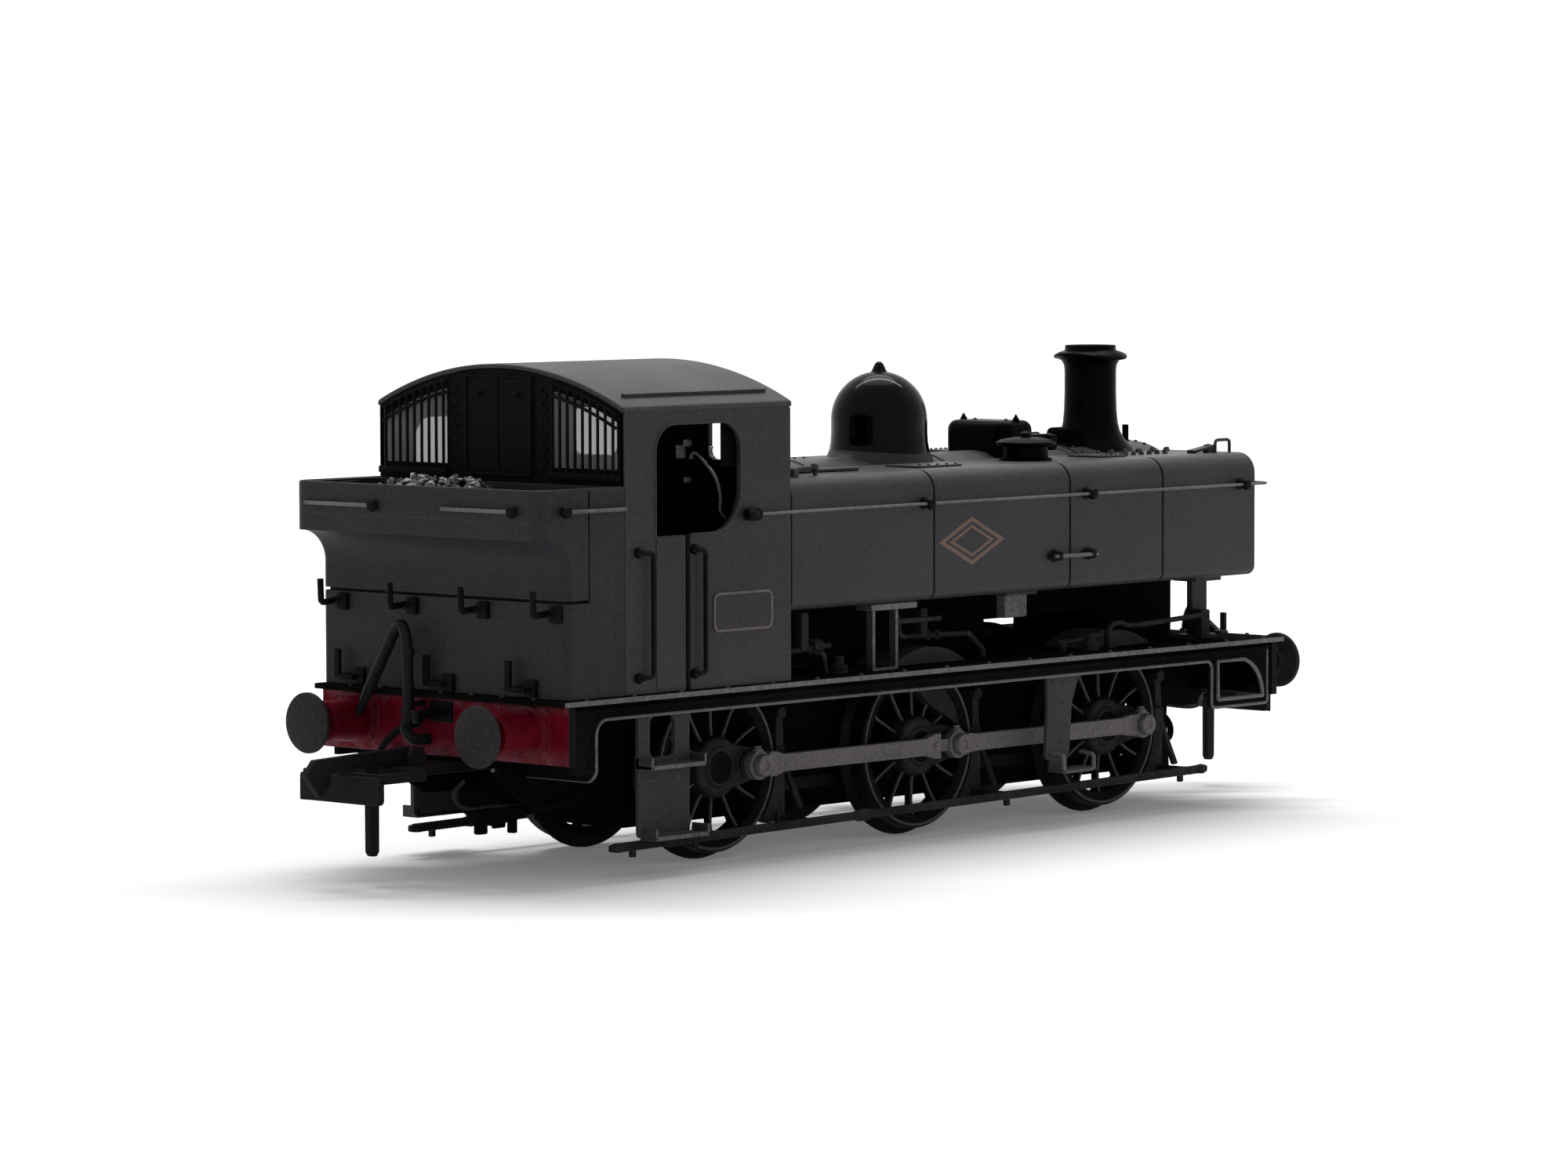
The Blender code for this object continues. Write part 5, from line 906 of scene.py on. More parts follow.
def under_tank_fittings(s):
    """Reach rod, pipes and valves that show between the tank and the plate."""
    rod_y, lever_y, handle_y, pipe_y = s * 11.3, s * 12.5, s * 12.9, s * 13.0
    reach = rounded([(-1.4, rod_y, 22.3), (-1.1, rod_y, 20.2), (9.3, rod_y, 20.0), (11.6, rod_y, 18.2),
                     (11.6, rod_y, 17.5)], 0.6, 4, False)
    parts = [wire(reach, 0.55), wire([(-4.8, s * 13.5, 22.0), (2.4, s * 13.5, 22.0)], 0.55),
             block((1.6, 2.6), (rod_y - 0.5, rod_y + 0.5), (20.2, 22.9), 0.15)]
    for x in (3.0, 4.4):
        parts.append(hexnut((x, rod_y, 20.15), "x", 0.95, 0.4))
    z = 20.2
    drain = rounded([(-16.2, pipe_y, z - 0.4), (-14.4, s * 13.2, z - 0.8), (-14.0, s * 13.2, 17.4)], 0.5, 4,
                    False)
    parts += [wire([(-21.8, pipe_y, z - 0.5), (-13.4, pipe_y, z)], 0.6),
              block((-17.9, -16.9), (pipe_y - 0.55, pipe_y + 0.55), (z - 0.4, z + 3.4), 0.15),
              turned([(0, -0.6), (0.75, -0.6), (0.75, 0.6), (0, 0.6)], "x", (-15.5, pipe_y, z), 16),
              wire(drain, 0.5),
              wire([(-21.6, s * 12.6, 18.3), (-20.4, s * 12.6, 19.4), (-20.2, s * 12.6, 17.4)], 0.45)]
    lever = [(22.0, 18.4), (24.0, 18.35), (28.4, 18.75), (28.9, 19.2)]
    parts.append(wire(curve([(x, lever_y, z) for x, z in lever], 4), 0.5))
    handle = [(29.6, 18.6), (29.9, 19.6), (31.4, 19.9), (34.0, 19.5), (45.6, 20.0)]
    parts.append(wire(curve([(x, handle_y, z) for x, z in handle], 5), 0.55))
    parts.append(block((44.9, 46.3), (s * 12.2 - 0.8, s * 12.2 + 0.8), (17.4, 20.5), 0.2))
    parts.append(block((22.2, 22.9), (lever_y - 0.4, lever_y + 0.4), (17.35, 18.5), 0.12))
    parts.append(block((29.2, 30.2), (handle_y - 0.4, handle_y + 0.4), (17.35, 19.0), 0.12))
    valve = [(0, 17.4), (0.9, 17.4), (0.9, 18.1), (0.5, 18.3), (0.5, 19.0), (0, 19.1)]
    for x in (-12.0, 26.5):
        parts.append(turned(valve, "z", (x, pipe_y, 0), 16))
    return parts


def guard_irons():
    """Irons by the outer wheels, and the frame plates at both ends that they hang from."""
    parts = []
    rear = [(-52.8, 16.5), (-52.8, 9.4), (-49.5, 7.2), (-36.2, 6.9), (-36.2, 16.5)]
    front = [(43.0, 16.5), (43.0, 11.0), (48.5, 9.8), (52.0, 9.8), (52.0, 16.5)]
    for s in SIDES.values():
        for x, lean in ((45.6, 0.8), (-38.4, -0.8)):
            iron = [(x - 1.1, 12.4), (x + 1.1, 12.4), (x + 0.9, 8.2), (x + lean + 0.6, 3.0),
                    (x + lean - 0.6, 3.0), (x - 0.9, 8.2)]
            parts.append(slab(iron, "y", *sorted((s * 6.4, s * 7.0)), soft=0.1))
            parts.append(rivets([(x, s * 7.0, 11.4), (x, s * 7.0, 9.9)], (0, s, 0), 0.6, 0.2))
        for outline in (rear, front):
            parts.append(slab(outline, "y", *sorted(s * y for y in FRAME_PLATE), soft=0.08))
    return parts


def buffer_stocks():
    """Tapered stocks on their square bases, facing +x."""
    stocks = []
    for y in (-BUFFER_Y, BUFFER_Y):
        stock = [(1.03, 53.0), (2.5, 53.0), (2.5, 53.5), (2.4, 53.6), (2.22, 53.62), (2.2, 53.8),
                 (2.05, 55.2), (1.85, 57.2), (1.85, 57.5), (2.0, 57.58), (2.0, 57.95), (1.85, 58.08),
                 (1.03, 58.1)]
        stocks.append(turned(stock, "x", (0, y, BUFFER_Z), 40, True))
        base = plate_outline(y - 2.75, y + 2.75, 11.95, 16.65, 0.8)
        stocks.append(slab(base, "x", 53.05, 53.35, soft=0.08))
        bolts = [(53.3, y + a, BUFFER_Z + b) for a in (-2.05, 2.05) for b in (-1.75, 1.75)]
        stocks.append(rivets(bolts, (1, 0, 0), 0.65, 0.3))
    return stocks


def make_beam(end):
    """Buffer beam with its rivets, stocks, draw hook and pipe; the stocks are crimson only at the rear."""
    red = [slab(plate_outline(-16.5, 16.5, 11.38, 16.8, 0.1), "x", 52.9, BEAM_FACE, soft=0.05),
           block((BEAM_FACE - 0.05, BEAM_FACE + 0.14), (-13.3, 13.3), (11.5, 16.7), 0.05)]
    proud = BEAM_FACE + 0.12
    spots = [(proud, y * 1.3, 11.95) for y in range(-9, 10)]
    spots += [(proud, y * 2.6, 16.2) for y in range(-5, 6)]
    spots += [(proud, s * 13.0, z) for s in (-1, 1) for z in (13.0, 14.1, 15.2)]
    red.append(rivets(spots, (1, 0, 0), 0.55, 0.18))
    hook = [(0.0, -0.45), (2.4, -0.45), (3.6, -1.0), (3.9, 0.4), (2.9, 0.2), (2.4, 0.45), (0.0, 0.45)]
    hook = slab(rounded(hook, 0.15, 2), "y", -0.45, 0.45, soft=0.12)
    dark = [block((52.2, 53.07), (-16.55, 16.55), (11.34, 16.84), 0.05), moved(hook, (BEAM_FACE, 0, 15.6)),
            block((BEAM_FACE, 53.5), (-1.5, 1.5), (14.6, 16.6), 0.1)]
    if end == "rear":
        red += buffer_stocks()
    else:
        dark += buffer_stocks()
    pipe = curve([(53.0, -3.0, 14.4), (54.5, -3.9, 14.0), (55.0, -5.2, 13.0), (55.0, -6.4, 11.9),
                  (55.0, -6.5, 11.1), (55.0, -5.5, 10.4)], 4)
    dark.append(wire(pipe, 0.7))
    return facing(gather(*[tint(part, 0) for part in red], *[tint(part, 1) for part in dark]), end)


def make_head():
    """Round buffer head on its shank, facing +x."""
    return turned([(0, 56.0), (1.0, 56.0), (1.0, 59.5), (1.5, 59.6), (2.75, 59.6), (2.9, 59.72),
                   (2.9, 59.95), (2.82, 60.06), (2.3, 60.18), (1.4, 60.28), (0, 60.33)], "x", segs=56)


def make_hose(end):
    """Vacuum pipe with its bent neck, clips and tapered end."""
    top = 19.8 if end == "front" else 23.8
    foot = 15.2 if end == "front" else 14.7
    x = 55.1
    route = [(53.16, -1.9, 12.9), (54.7, -2.3, 12.95), (x, -3.05, 13.9), (x, -2.65, 15.4),
             (x, -2.7, top - 4.6), (x, -2.85, top - 1.6), (x, -3.55, top - 0.1), (x, -4.6, top - 1.0)]
    route += [(x, -4.6 - 5.1 * t, (top - 1.0) * (1 - t) + foot * t) for t in (0.15, 0.5, 1.0)]
    path = curve(route, 6)
    taper = [0.85, 0.7, 0.62, 0.5]
    parts = [wire(path, 1.1, 16, [1.0] * (len(path) - len(taper)) + taper)]
    clip = [(0.5, -0.3), (0.68, -0.3), (0.68, 0.3), (0.5, 0.3)]
    for z in (15.6, top - 2.6):
        parts.append(turned(clip, "z", (x, -2.7, z), 16, True))
    parts.append(block((BEAM_FACE, 55.2), (-3.0, -2.2), (16.0, 16.5), 0.12))
    return facing(gather(*parts), end)


def make_coupling(end):
    """Flat coupling bar with its loop, face plate, bent wire and hook ears."""
    half, shoulder = 5.3, 61.0
    outline = arc(COUPLING_PIVOT, 0, 2.2, 60, 300, 16)
    outline += [(shoulder - 3.0, -1.5), (shoulder - 0.6, -half), (66.2, -half), (66.2, half),
                (shoulder - 0.6, half), (shoulder - 3.0, 1.5)]
    loop = plate_outline(shoulder, 65.75, -4.6, 4.6, 0.5)
    eye = arc(COUPLING_PIVOT, 0, 1.1, 0, 345, 23)
    face = rounded([(-half, 8.0), (half, 8.0), (half, 10.6), (-half, 10.6)], [0.5, 0.5, 0.3, 0.3])
    parts = [slab(outline, "z", 9.95, 10.9, [loop, eye], 0.1), slab(face, "x", 65.8, 66.6, soft=0.12),
             block((66.3, 66.62), (-half, -4.3), (7.98, 10.0), 0.12)]
    ear = [(56.3, 10.4), (58.7, 10.4), (58.7, 11.6), (58.1, 12.6), (56.9, 12.6), (56.3, 11.6)]
    for s in (-1, 1):
        parts.append(slab(rounded(ear, 0.2, 2), "y", *sorted((s * 0.5, s * 1.16)), soft=0.08))
    parts.append(wire([(HOOK_X, -1.3, HOOK_Z), (HOOK_X, 1.3, HOOK_Z)], 0.6, 12))
    bent = curve([(48.0, -1.9, 10.4), (51.0, -4.3, 9.6), (55.0, -4.2, 9.3), (58.5, -2.4, 10.2)], 6)
    parts.append(wire(bent, 0.5, 8))
    return facing(gather(*parts), end)


def make_hook(end):
    """Lifting hook with its tail, round the pin in the coupling's ears."""
    outline = arc(HOOK_X, HOOK_Z, 1.02, 90, 300, 12)
    outline += [(61.75, 11.02), (61.8, 3.1), (62.1, 2.7), (62.7, 2.7), (63.0, 3.1), (63.05, 10.98),
                (67.8, 10.98), (67.8, 9.9), (69.0, 8.75), (69.3, 8.75), (71.0, 10.8), (69.8, 12.2)]
    eye = arc(HOOK_X, HOOK_Z, 0.36, 0, 330, 11)
    return facing(slab(outline, "y", -0.36, 0.36, [eye], 0.08), end)


def under_frame_details():
    """Coupling pockets, stays and spring wires at both ends, and the pipe loop and plates at the rear."""
    stay = curve([(47.0, -3.6, 10.4), (48.6, -5.4, 8.2), (47.4, -6.6, 6.6), (44.6, -7.2, 6.8),
                  (41.8, -6.9, 7.6)], 5)
    end = gather(block((46.5, 51.5), (-3.2, 3.2), (11.0, 12.4), 0.2),
                 block((50.6, 51.9), (-15.2, 15.2), (11.6, 12.4), 0.15), wire(stay, 0.7))
    loop = curve([(-54.2, -3.8, 9.3), (-55.5, -3.9, 8.4), (-55.2, -4.0, 7.3), (-53.7, -4.0, 6.7),
                  (-51.4, -4.0, 6.75), (-48.3, -4.0, 6.6), (-45.0, -4.0, 6.5)], 5)
    web = [(-54.0, 6.4), (-46.0, 6.6), (-45.2, 5.8), (-47.9, 5.2), (-51.0, 4.9), (-53.4, 5.6)]
    plate = [(-54.4, 6.2), (-45.2, 6.2), (-45.2, 8.8), (-54.4, 8.8)]
    return gather(both(end, "x"), tint(wire(loop, 0.4), 1), slab(web, "y", -4.5, -3.5, soft=0.15),
                  slab(rounded(plate, [0.9, 0.1, 0.1, 0.6]), "y", -3.7, -3.2, soft=0.1),
                  block((-42.4, -41.9), (-6.42, 6.42), (7.0, 12.0), 0.1),
                  block((-52.8, -51.6), (-4.4, -3.6), (4.2, 5.6), 0.15),
                  block((-48.4, -47.7), (-4.4, -3.6), (4.0, 5.6), 0.12))


def build_underframe():
    build_plate()
    for name, s in SIDES.items():
        piece(f"under_tank_fittings_{name}", under_tank_fittings(s), [hub_grey])
    piece("guard_irons", guard_irons(), [frame_black])
    piece("coupling_pockets", [under_frame_details()], [frame_black, hub_grey])
    for end in ENDS:
        piece(f"beam_{end}", [make_beam(end)], [beam_crimson, fitting_black],
              stands_for=[f"{end}_buffer_beam"])
        for side, s in SIDES.items():
            head = make_head() if end == "front" else flipped(make_head(), "x")
            piece(f"buffer_{end}_{side}_head", [moved(head, (0, s * BUFFER_Y, BUFFER_Z))], [head_steel],
                  f"buffer_{end}_{side}", [f"buffer_head_{end}_{side}"])
        piece(f"vacuum_hose_{end}", [make_hose(end)], [hose_black],
              stands_for=[f"vacuum_pipe_{end}"])
        piece(f"coupling_loop_{end}", [make_coupling(end)], [coupling_black],
              f"coupling_{end}_bar", [f"coupling_{end}"])
        piece(f"coupling_drop_hook_{end}", [make_hook(end)], [coupling_black],
              f"coupling_{end}_hook", [f"coupling_hook_{end}"])


build_underframe()


# cab, bunker and coal
def roof_z(y, below=0.0):
    """Height of the roof's curve at a distance from the middle, lowered by an amount."""
    r = ROOF_R - below
    return ROOF_TOP - ROOF_R + math.sqrt(r * r - y * y)


def cab_side():
    """Left cab side with its doorway, door gap, beading, handrails and a bare plate."""
    top = roof_z(CAB_HALF, 0.56) + 0.1
    (rear, front), (sill, head) = DOORWAY_X, DOORWAY_Z
    gap_rear, gap_front = -37.3, -36.6
    corners = [(CAB_REAR, BODY_BASE), (gap_rear, BODY_BASE), (gap_rear, sill), (rear, sill), (rear, head),
               (front, head), (front, sill), (gap_front, sill), (gap_front, BODY_BASE),
               (CAB_FRONT, BODY_BASE), (CAB_FRONT, top), (CAB_REAR, top)]
    outline = rounded(corners, [0, 0, 0.12, 0, 2.6, 2.6, 4.2, 0.12, 0, 0, 0.35, 0.2], 8)
    # the side's inner face takes the near-black painted shade
    parts = [lined(slab(outline, "y", 15.82, CAB_HALF, soft=0.07), (0, -1, 0), 4)]
    bead = rounded([(rear, sill), (rear, head), (front, head), (front, sill), (gap_front, sill)],
                   [0, 2.6, 2.6, 4.2, 0], 8, False)
    parts.append(wire([(p[0], 16.4, p[1]) for p in bead], 0.3, 8))
    # a near-black sheet just inside, seen past the doorway's head, is painted shade
    parts.append(tint(block((-31.4, -25.0), (15.4, 15.65), (38.3, 43.0), 0.05), 4))
    parts.append(block((-41.3, -37.36), (16.3, 16.52), (17.75, 31.95), 0.05))
    parts.append(tint(block((-37.9, -36.0), (15.5, 15.8), (17.5, 32.0), 0.05), 1))
    y, low, high = 17.05, 19.0, 30.7
    knob = [(0, 16.38), (0.5, 16.4), (0.5, 16.7), (0.36, 16.9), (0, 16.95)]
    for x, foot in ((-42.3, -43.8), (-35.2, -36.2)):
        rail = rounded([(foot, 16.4, high), (foot, y, high), (x, y, high - 0.1), (x, y, low + 0.1),
                        (foot, y, low), (foot, 16.4, low)], 0.35, 4, False)
        parts.append(tint(wire(rail, 0.46), 1))
        for z in (high, low):
            parts.append(tint(turned(knob, "y", (foot, 0, z), 12), 1))
    field = plate_outline(-33.55, -25.3, 22.7, 26.45, 0.75)
    parts.append(slab(field, "y", 16.4, 16.5, soft=0.03))
    inner = plate_outline(-33.3, -25.55, 22.95, 26.2, 0.55)
    parts.append(tint(slab(field, "y", 16.45, 16.56, [inner], 0.02), 2))
    return gather(*parts)


def end_wall(x0, x1, holes):
    """A cross wall of the cab, cut to the roof's curve."""
    half = CAB_HALF - 0.1
    steps = [half - 2 * half * i / 32 for i in range(33)]
    outline = [(-half, BODY_BASE), (half, BODY_BASE)] + [(y, roof_z(y, 0.5)) for y in steps]
    return slab(outline, "x", x0, x1, holes, 0.07)


def rear_window(s):
    """Outline of one rear window, arched below the roof."""
    steps = [15.45 - 8.31 * i / 8 for i in range(9)]
    outline = [(7.14, 38.45), (15.45, 38.45)] + [(y, roof_z(y, 1.75)) for y in steps]
    return [(s * y, z) for y, z in outline]


def rear_guards(s):
    """Upright guard bars over one rear window, with their arched rail and the ledge below."""
    parts = []
    for i in range(9):
        y = 7.3 + 0.99 * i
        bar = [(-45.75, s * y, min(roof_z(y, 1.05), 46.6)), (-45.75, s * y, 37.9)]
        parts.append(wire(bar, 0.3, 8))
    steps = [7.0 + 8.6 * i / 12 for i in range(13)]
    parts.append(wire([(-45.75, s * y, roof_z(y, 2.15)) for y in steps], 0.34, 8))
    parts.append(wire([(-45.6, s * y, roof_z(y, 1.0)) for y in steps], 0.36, 8))
    ends = sorted((s * 6.7, s * 16.0))
    parts.append(block((-46.1, -45.4), ends, (37.35, 38.0), 0.12))
    spots = [(-45.45, s * (5.75 + 0.5 * (k % 2)), 38.3 + 0.62 * k) for k in range(13)]
    parts.append(rivets(spots, (-1, 0, 0), 0.5, 0.22))
    return parts


def rear_doors():
    """Two-leaf shutter in the middle of the rear wall."""
    parts = []
    for s in (-1, 1):
        near, far = sorted((s * 0.07, s * 4.1))
        leaf = [(near, 37.9), (far, 37.9)] + [(y, min(46.7, roof_z(y, 1.0))) for y in (far, near)]
        parts.append(slab(leaf, "x", -45.62, -45.4, soft=0.06))
        parts.append(ball((-45.68, s * 2.55, 45.2), 0.62, 10))
        edge = sorted((s * 4.2, s * 4.45))
        parts.append(block((-45.75, -45.4), edge, (37.6, 46.9), 0.06))
    parts.append(block((-45.75, -45.4), (-4.45, 4.45), (37.45, 37.75), 0.06))
    parts.append(block((-45.72, -45.4), (-4.45, 4.45), (46.75, 47.0), 0.06))
    return parts


def make_roof():
    """Curved roof sheet, near-black below as painted shade, with its two rain strips."""
    steps = [-16.48 + 32.96 * i / 48 for i in range(49)]
    outline = [(y, roof_z(y, 0.02)) for y in steps] + [(y, roof_z(y, 0.56)) for y in reversed(steps)]
    skin = lined(slab(outline, "x", CAB_REAR - 0.28, CAB_FRONT + 0.2, soft=0.24, steps=3), (0, 0, -1), 1)
    parts = [skin]
    for s in (-1, 1):
        strip = block((-43.8, -24.2), (-0.18, 0.18), (ROOF_TOP - 0.1, ROOF_TOP + 0.34), 0.08)
        parts.append(swung(strip, "X", -s * 22.6, (0, 0, ROOF_TOP - ROOF_R)))
    return gather(*parts)


def cab_inside():
    """Firebox back plate with its door, gauges, regulator and pipes."""
    x, wall = -28.4, -23.2
    plate = [(6.0, BODY_BASE), (-6.0, BODY_BASE)] + arc(0, 29.5, 6.0, 180, 0, 24)
    dark = [slab(plate, "x", x, wall, soft=0.6, steps=3),
            block((-44.8, wall), (-15.8, 15.8), (DECK_TOP, 17.85), 0.05),
            turned([(0, x - 0.35), (1.9, x - 0.35), (2.1, x - 0.2), (2.1, x + 0.1)], "x", (0, 0, 23.6), 28),
            block((x - 0.9, x), (-2.6, 2.6), (20.9, 21.3), 0.1),
            turned([(0, x - 0.9), (0.7, x - 0.9), (0.9, x - 0.6), (0.9, x + 0.1)], "x", (0, 0, 32.2), 16)]
    for s in (-1, 1):
        dark.append(block((x - 0.5, x), (s * 3.6 - 0.35, s * 3.6 + 0.35), (26.0, 31.0), 0.12))
        dark.append(turned([(0, x - 0.5), (0.5, x - 0.5), (0.5, x)], "x", (0, s * 1.8, 28.6), 12))
        dark.append(block((-31.0, -27.0), (s * 13.6 - 2.2, s * 13.6 + 2.2), (17.8, 24.0), 0.3))
    dark.append(block((-30.4, -29.6), (-8.4, -7.6), (17.8, 31.5), 0.15))
    bent = curve([(wall, -4.05, 38.5), (-23.6, -4.15, 38.6), (-23.8, -5.1, 39.0), (-24.2, -7.4, 37.5),
                  (-24.2, -8.3, 36.3), (-24.2, -8.7, 34.8), (-24.1, -8.55, 33.6), (wall, -8.4, 32.8)], 6)
    pale = [wire([(x - 0.7, -1.6, 33.4), (x - 1.0, 0.0, 32.2), (x - 0.9, 2.6, 30.2)], 0.4),
            block((wall - 0.6, wall), (-3.2, -2.35), (38.45, 39.3), 0.1),
            block((wall - 0.6, wall), (-3.1, -2.35), (39.3, 39.75), 0.1),
            turned([(0, wall - 0.5), (0.36, wall - 0.5), (0.36, wall)], "x", (0, -3.6, 39.95), 14),
            turned([(0, wall - 0.5), (0.3, wall - 0.5), (0.3, wall)], "x", (0, -3.6, 36.38), 14),
            turned([(0, wall - 0.6), (0.8, wall - 0.6), (0.8, wall)], "x", (0, 3.4, 39.6), 24),
            wire(bent, 0.3),
            wire([(wall, -6.7, 39.6), (-23.6, -6.7, 39.6), (-23.6, -6.8, 38.8), (-23.6, -7.2, 38.6)], 0.3)]
    return [tint(part, 0) for part in dark] + [tint(part, 1) for part in pale]


def build_cab():
    left = cab_side()
    back = tint(end_wall(CAB_REAR, CAB_REAR + 0.6, [rear_window(-1), rear_window(1)]), 3)
    lights = [plate_outline(6.2, 12.4, 38.45, 43.1, 0.9), plate_outline(-12.4, -6.2, 38.45, 43.1, 0.9)]
    # the end walls' inner faces take the near-black painted shade
    shell = [flipped(left), left, lined(back, (1, 0, 0), 4),
             lined(end_wall(CAB_FRONT - 0.6, CAB_FRONT, lights), (-1, 0, 0), 4)]
    shell += [tint(part, 3) for part in rear_guards(-1) + rear_guards(1) + rear_doors()]
    piece("cab_shell", shell, [cab_black, fitting_black, plate_edge, spectacle_black, cab_inside_shade_black],
          stands_for=["cab"])
    panes = [slab(rear_window(s), "x", CAB_REAR + 0.1, CAB_REAR + 0.25) for s in (-1, 1)]
    piece("rear_window_panes", panes, [glazing])
    piece("cab_roof_sheet", [make_roof()], [roof_black_and_sheen, cab_inside_shade_black], stands_for=["cab_roof"])
    piece("cab_fittings", cab_inside(), [frame_black, cream], stands_for=["backhead"])


def bunker_wall(end, seam, corner):
    """Upright sheet round three sides of the coal space, open towards the seam."""
    inset = math.copysign(0.7, seam - end)
    path = [(seam, CAB_HALF), (end, CAB_HALF), (end, -CAB_HALF), (seam, -CAB_HALF), (seam, -CAB_HALF + 0.7),
            (end + inset, -CAB_HALF + 0.7), (end + inset, CAB_HALF - 0.7), (seam, CAB_HALF - 0.7)]
    bm = slab(rounded(path, [0, corner, corner, 0, 0, corner / 2, corner / 2, 0], 6), "z", BUNKER_FLOOR,
              TANK_TOP)
    return ease(bm, 0.06, 2, 50.0, lambda a, b: a.z > BUNKER_FLOOR + 0.1 or b.z > BUNKER_FLOOR + 0.1)


def flared_back(seam):
    """Upper rear of the bunker: level outlines joined in a stack, curving out to the band round its top."""
    rise, reach = 3.4, 3.73
    levels = [(26.65, BUNKER_BACK, 0.7)]
    for i in range(17):
        a = math.pi / 2 * i / 16
        levels.append((FLARE_TOP - rise * (1 - math.sin(a)), BUNKER_BACK - reach * (1 - math.cos(a)),
                       0.7 + 0.7 * i / 16))
    levels.append((BUNKER_FLOOR, BUNKER_LIP, 1.4))
    bm = bmesh.new()
    loops = []
    for z, back, corner in levels:
        path = [(seam, CAB_HALF), (back, CAB_HALF), (back, -CAB_HALF), (seam, -CAB_HALF)]
        ring = [bm.verts.new((p.x, p.y, z)) for p in rounded(path, [0, corner, corner, 0], 6)]
        loops.append([bm.edges.new((ring[i - 1], ring[i])) for i in range(len(ring))])
    bmesh.ops.contextual_create(bm, geom=loops[0])
    bmesh.ops.contextual_create(bm, geom=loops[-1])
    for under, over in zip(loops, loops[1:]):
        bmesh.ops.bridge_loops(bm, edges=under + over)

    def under_band(a, b):
        level = max(abs(a.z - FLARE_TOP), abs(b.z - FLARE_TOP)) < 0.005
        return level and max(a.x, b.x) < seam - 0.1

    return ease(tidy(bm), 0.06, 2, 50.0, under_band)


def bunker_shell():
    """Lower body, flared back and upper walls, which meet at an open seam over a dark core."""
    rear_seam, front_seam, front = -50.32, -50.08, -45.5
    lower = [(front, BODY_BASE), (BUNKER_BACK, BODY_BASE), (BUNKER_BACK, 26.37), (front_seam, 26.37),
             (front_seam, BUNKER_FLOOR), (front, BUNKER_FLOOR)]
    base = slab(lower, "y", -CAB_HALF, CAB_HALF)
    ease(base, 0.7, 6, 40.0,
         lambda a, b: max(abs(a.x - BUNKER_BACK), abs(b.x - BUNKER_BACK)) < 0.01 and abs(a.z - b.z) > 1)
    ease(base, 0.06, 2, 50.0, lambda a, b: min(a.z, b.z) < BUNKER_FLOOR - 0.1)
    shapes = [base, flared_back(rear_seam), bunker_wall(BUNKER_LIP, rear_seam, 1.4),
              bunker_wall(front, front_seam, 0.1)]
    core = [(-46.0, 18.0), (-52.6, 18.0), (-52.6, 32.0), (-46.0, 32.0)]
    shapes.append(tint(slab(core, "y", -15.9, 15.9), 1))
    shapes.append(tint(both(block((-51.2, -49.2), (15.2, 15.8), (33.0, TANK_TOP - 0.2), 0.05)), 1))
    x, y, z = -56.75, 16.3, 36.86
    rim = rounded([(-45.6, -y, z), (x, -y, z), (x, y, z), (-45.6, y, z)], 1.4, 6, False)
    shapes.append(wire(rim, 0.26, 8))
    return shapes


def bunker_irons():
    """Hooks in a row, lamp irons below them, and handrails at the rear and the sides."""
    irons = []
    for y in (14.4, 4.9, -4.6, -14.1):
        prong = rounded([(-53.0, y, 25.5), (-55.2, y, 25.3), (-55.3, y, 27.6)], 0.3, 3, False)
        irons += [wire(prong, 0.62, 8), block((-53.7, -53.0), (y - 1.75, y - 0.45), (24.6, 26.2), 0.15),
                  wire([(-53.4, y - 1.4, 25.3), (-53.4, y + 0.1, 25.3)], 0.6, 8)]
    for y in (13.0, 0.9, -10.0):
        irons += [block((-54.2, -53.8), (y + 0.1, y + 0.8), (18.2, 20.9), 0.08),
                  block((-54.2, -53.0), (y - 1.7, y + 0.8), (18.0, 18.5), 0.08),
                  block((-53.6, -53.1), (y - 2.6, y - 1.2), (17.6, 19.2), 0.15)]
    x, z = -57.2, 34.95
    pillar = [(0, -57.5), (0.5, -57.45), (0.62, x), (0.5, -56.95), (0.32, -56.85)]
    for y0, y1 in ((14.4, 5.2), (-4.1, -13.3)):
        irons.append(tint(wire([(x, y0, z), (x, y1, z)], 0.4), 1))
        bent = rounded([(-56.8, y0 - 0.1, z), (x, y0, z), (x, y0 - 0.4, z)], 0.1, 2, False)
        irons.append(wire(bent, 0.4))
        irons.append(turned(pillar, "x", (0, y1, z), 14))
    x, z = -53.7, 34.9
    pillar = [(0, -0.35), (0.5, -0.3), (0.6, 0), (0.5, 0.3), (0, 0.6)]
    for s in (-1, 1):
        y = s * 16.95
        irons.append(tint(wire([(x, y, z), (-45.9, y, z), (-45.5, s * 16.4, z)], 0.4), 1))
        irons.append(tint(turned(pillar, "y", (x, y, z), 14), 0))
    return irons


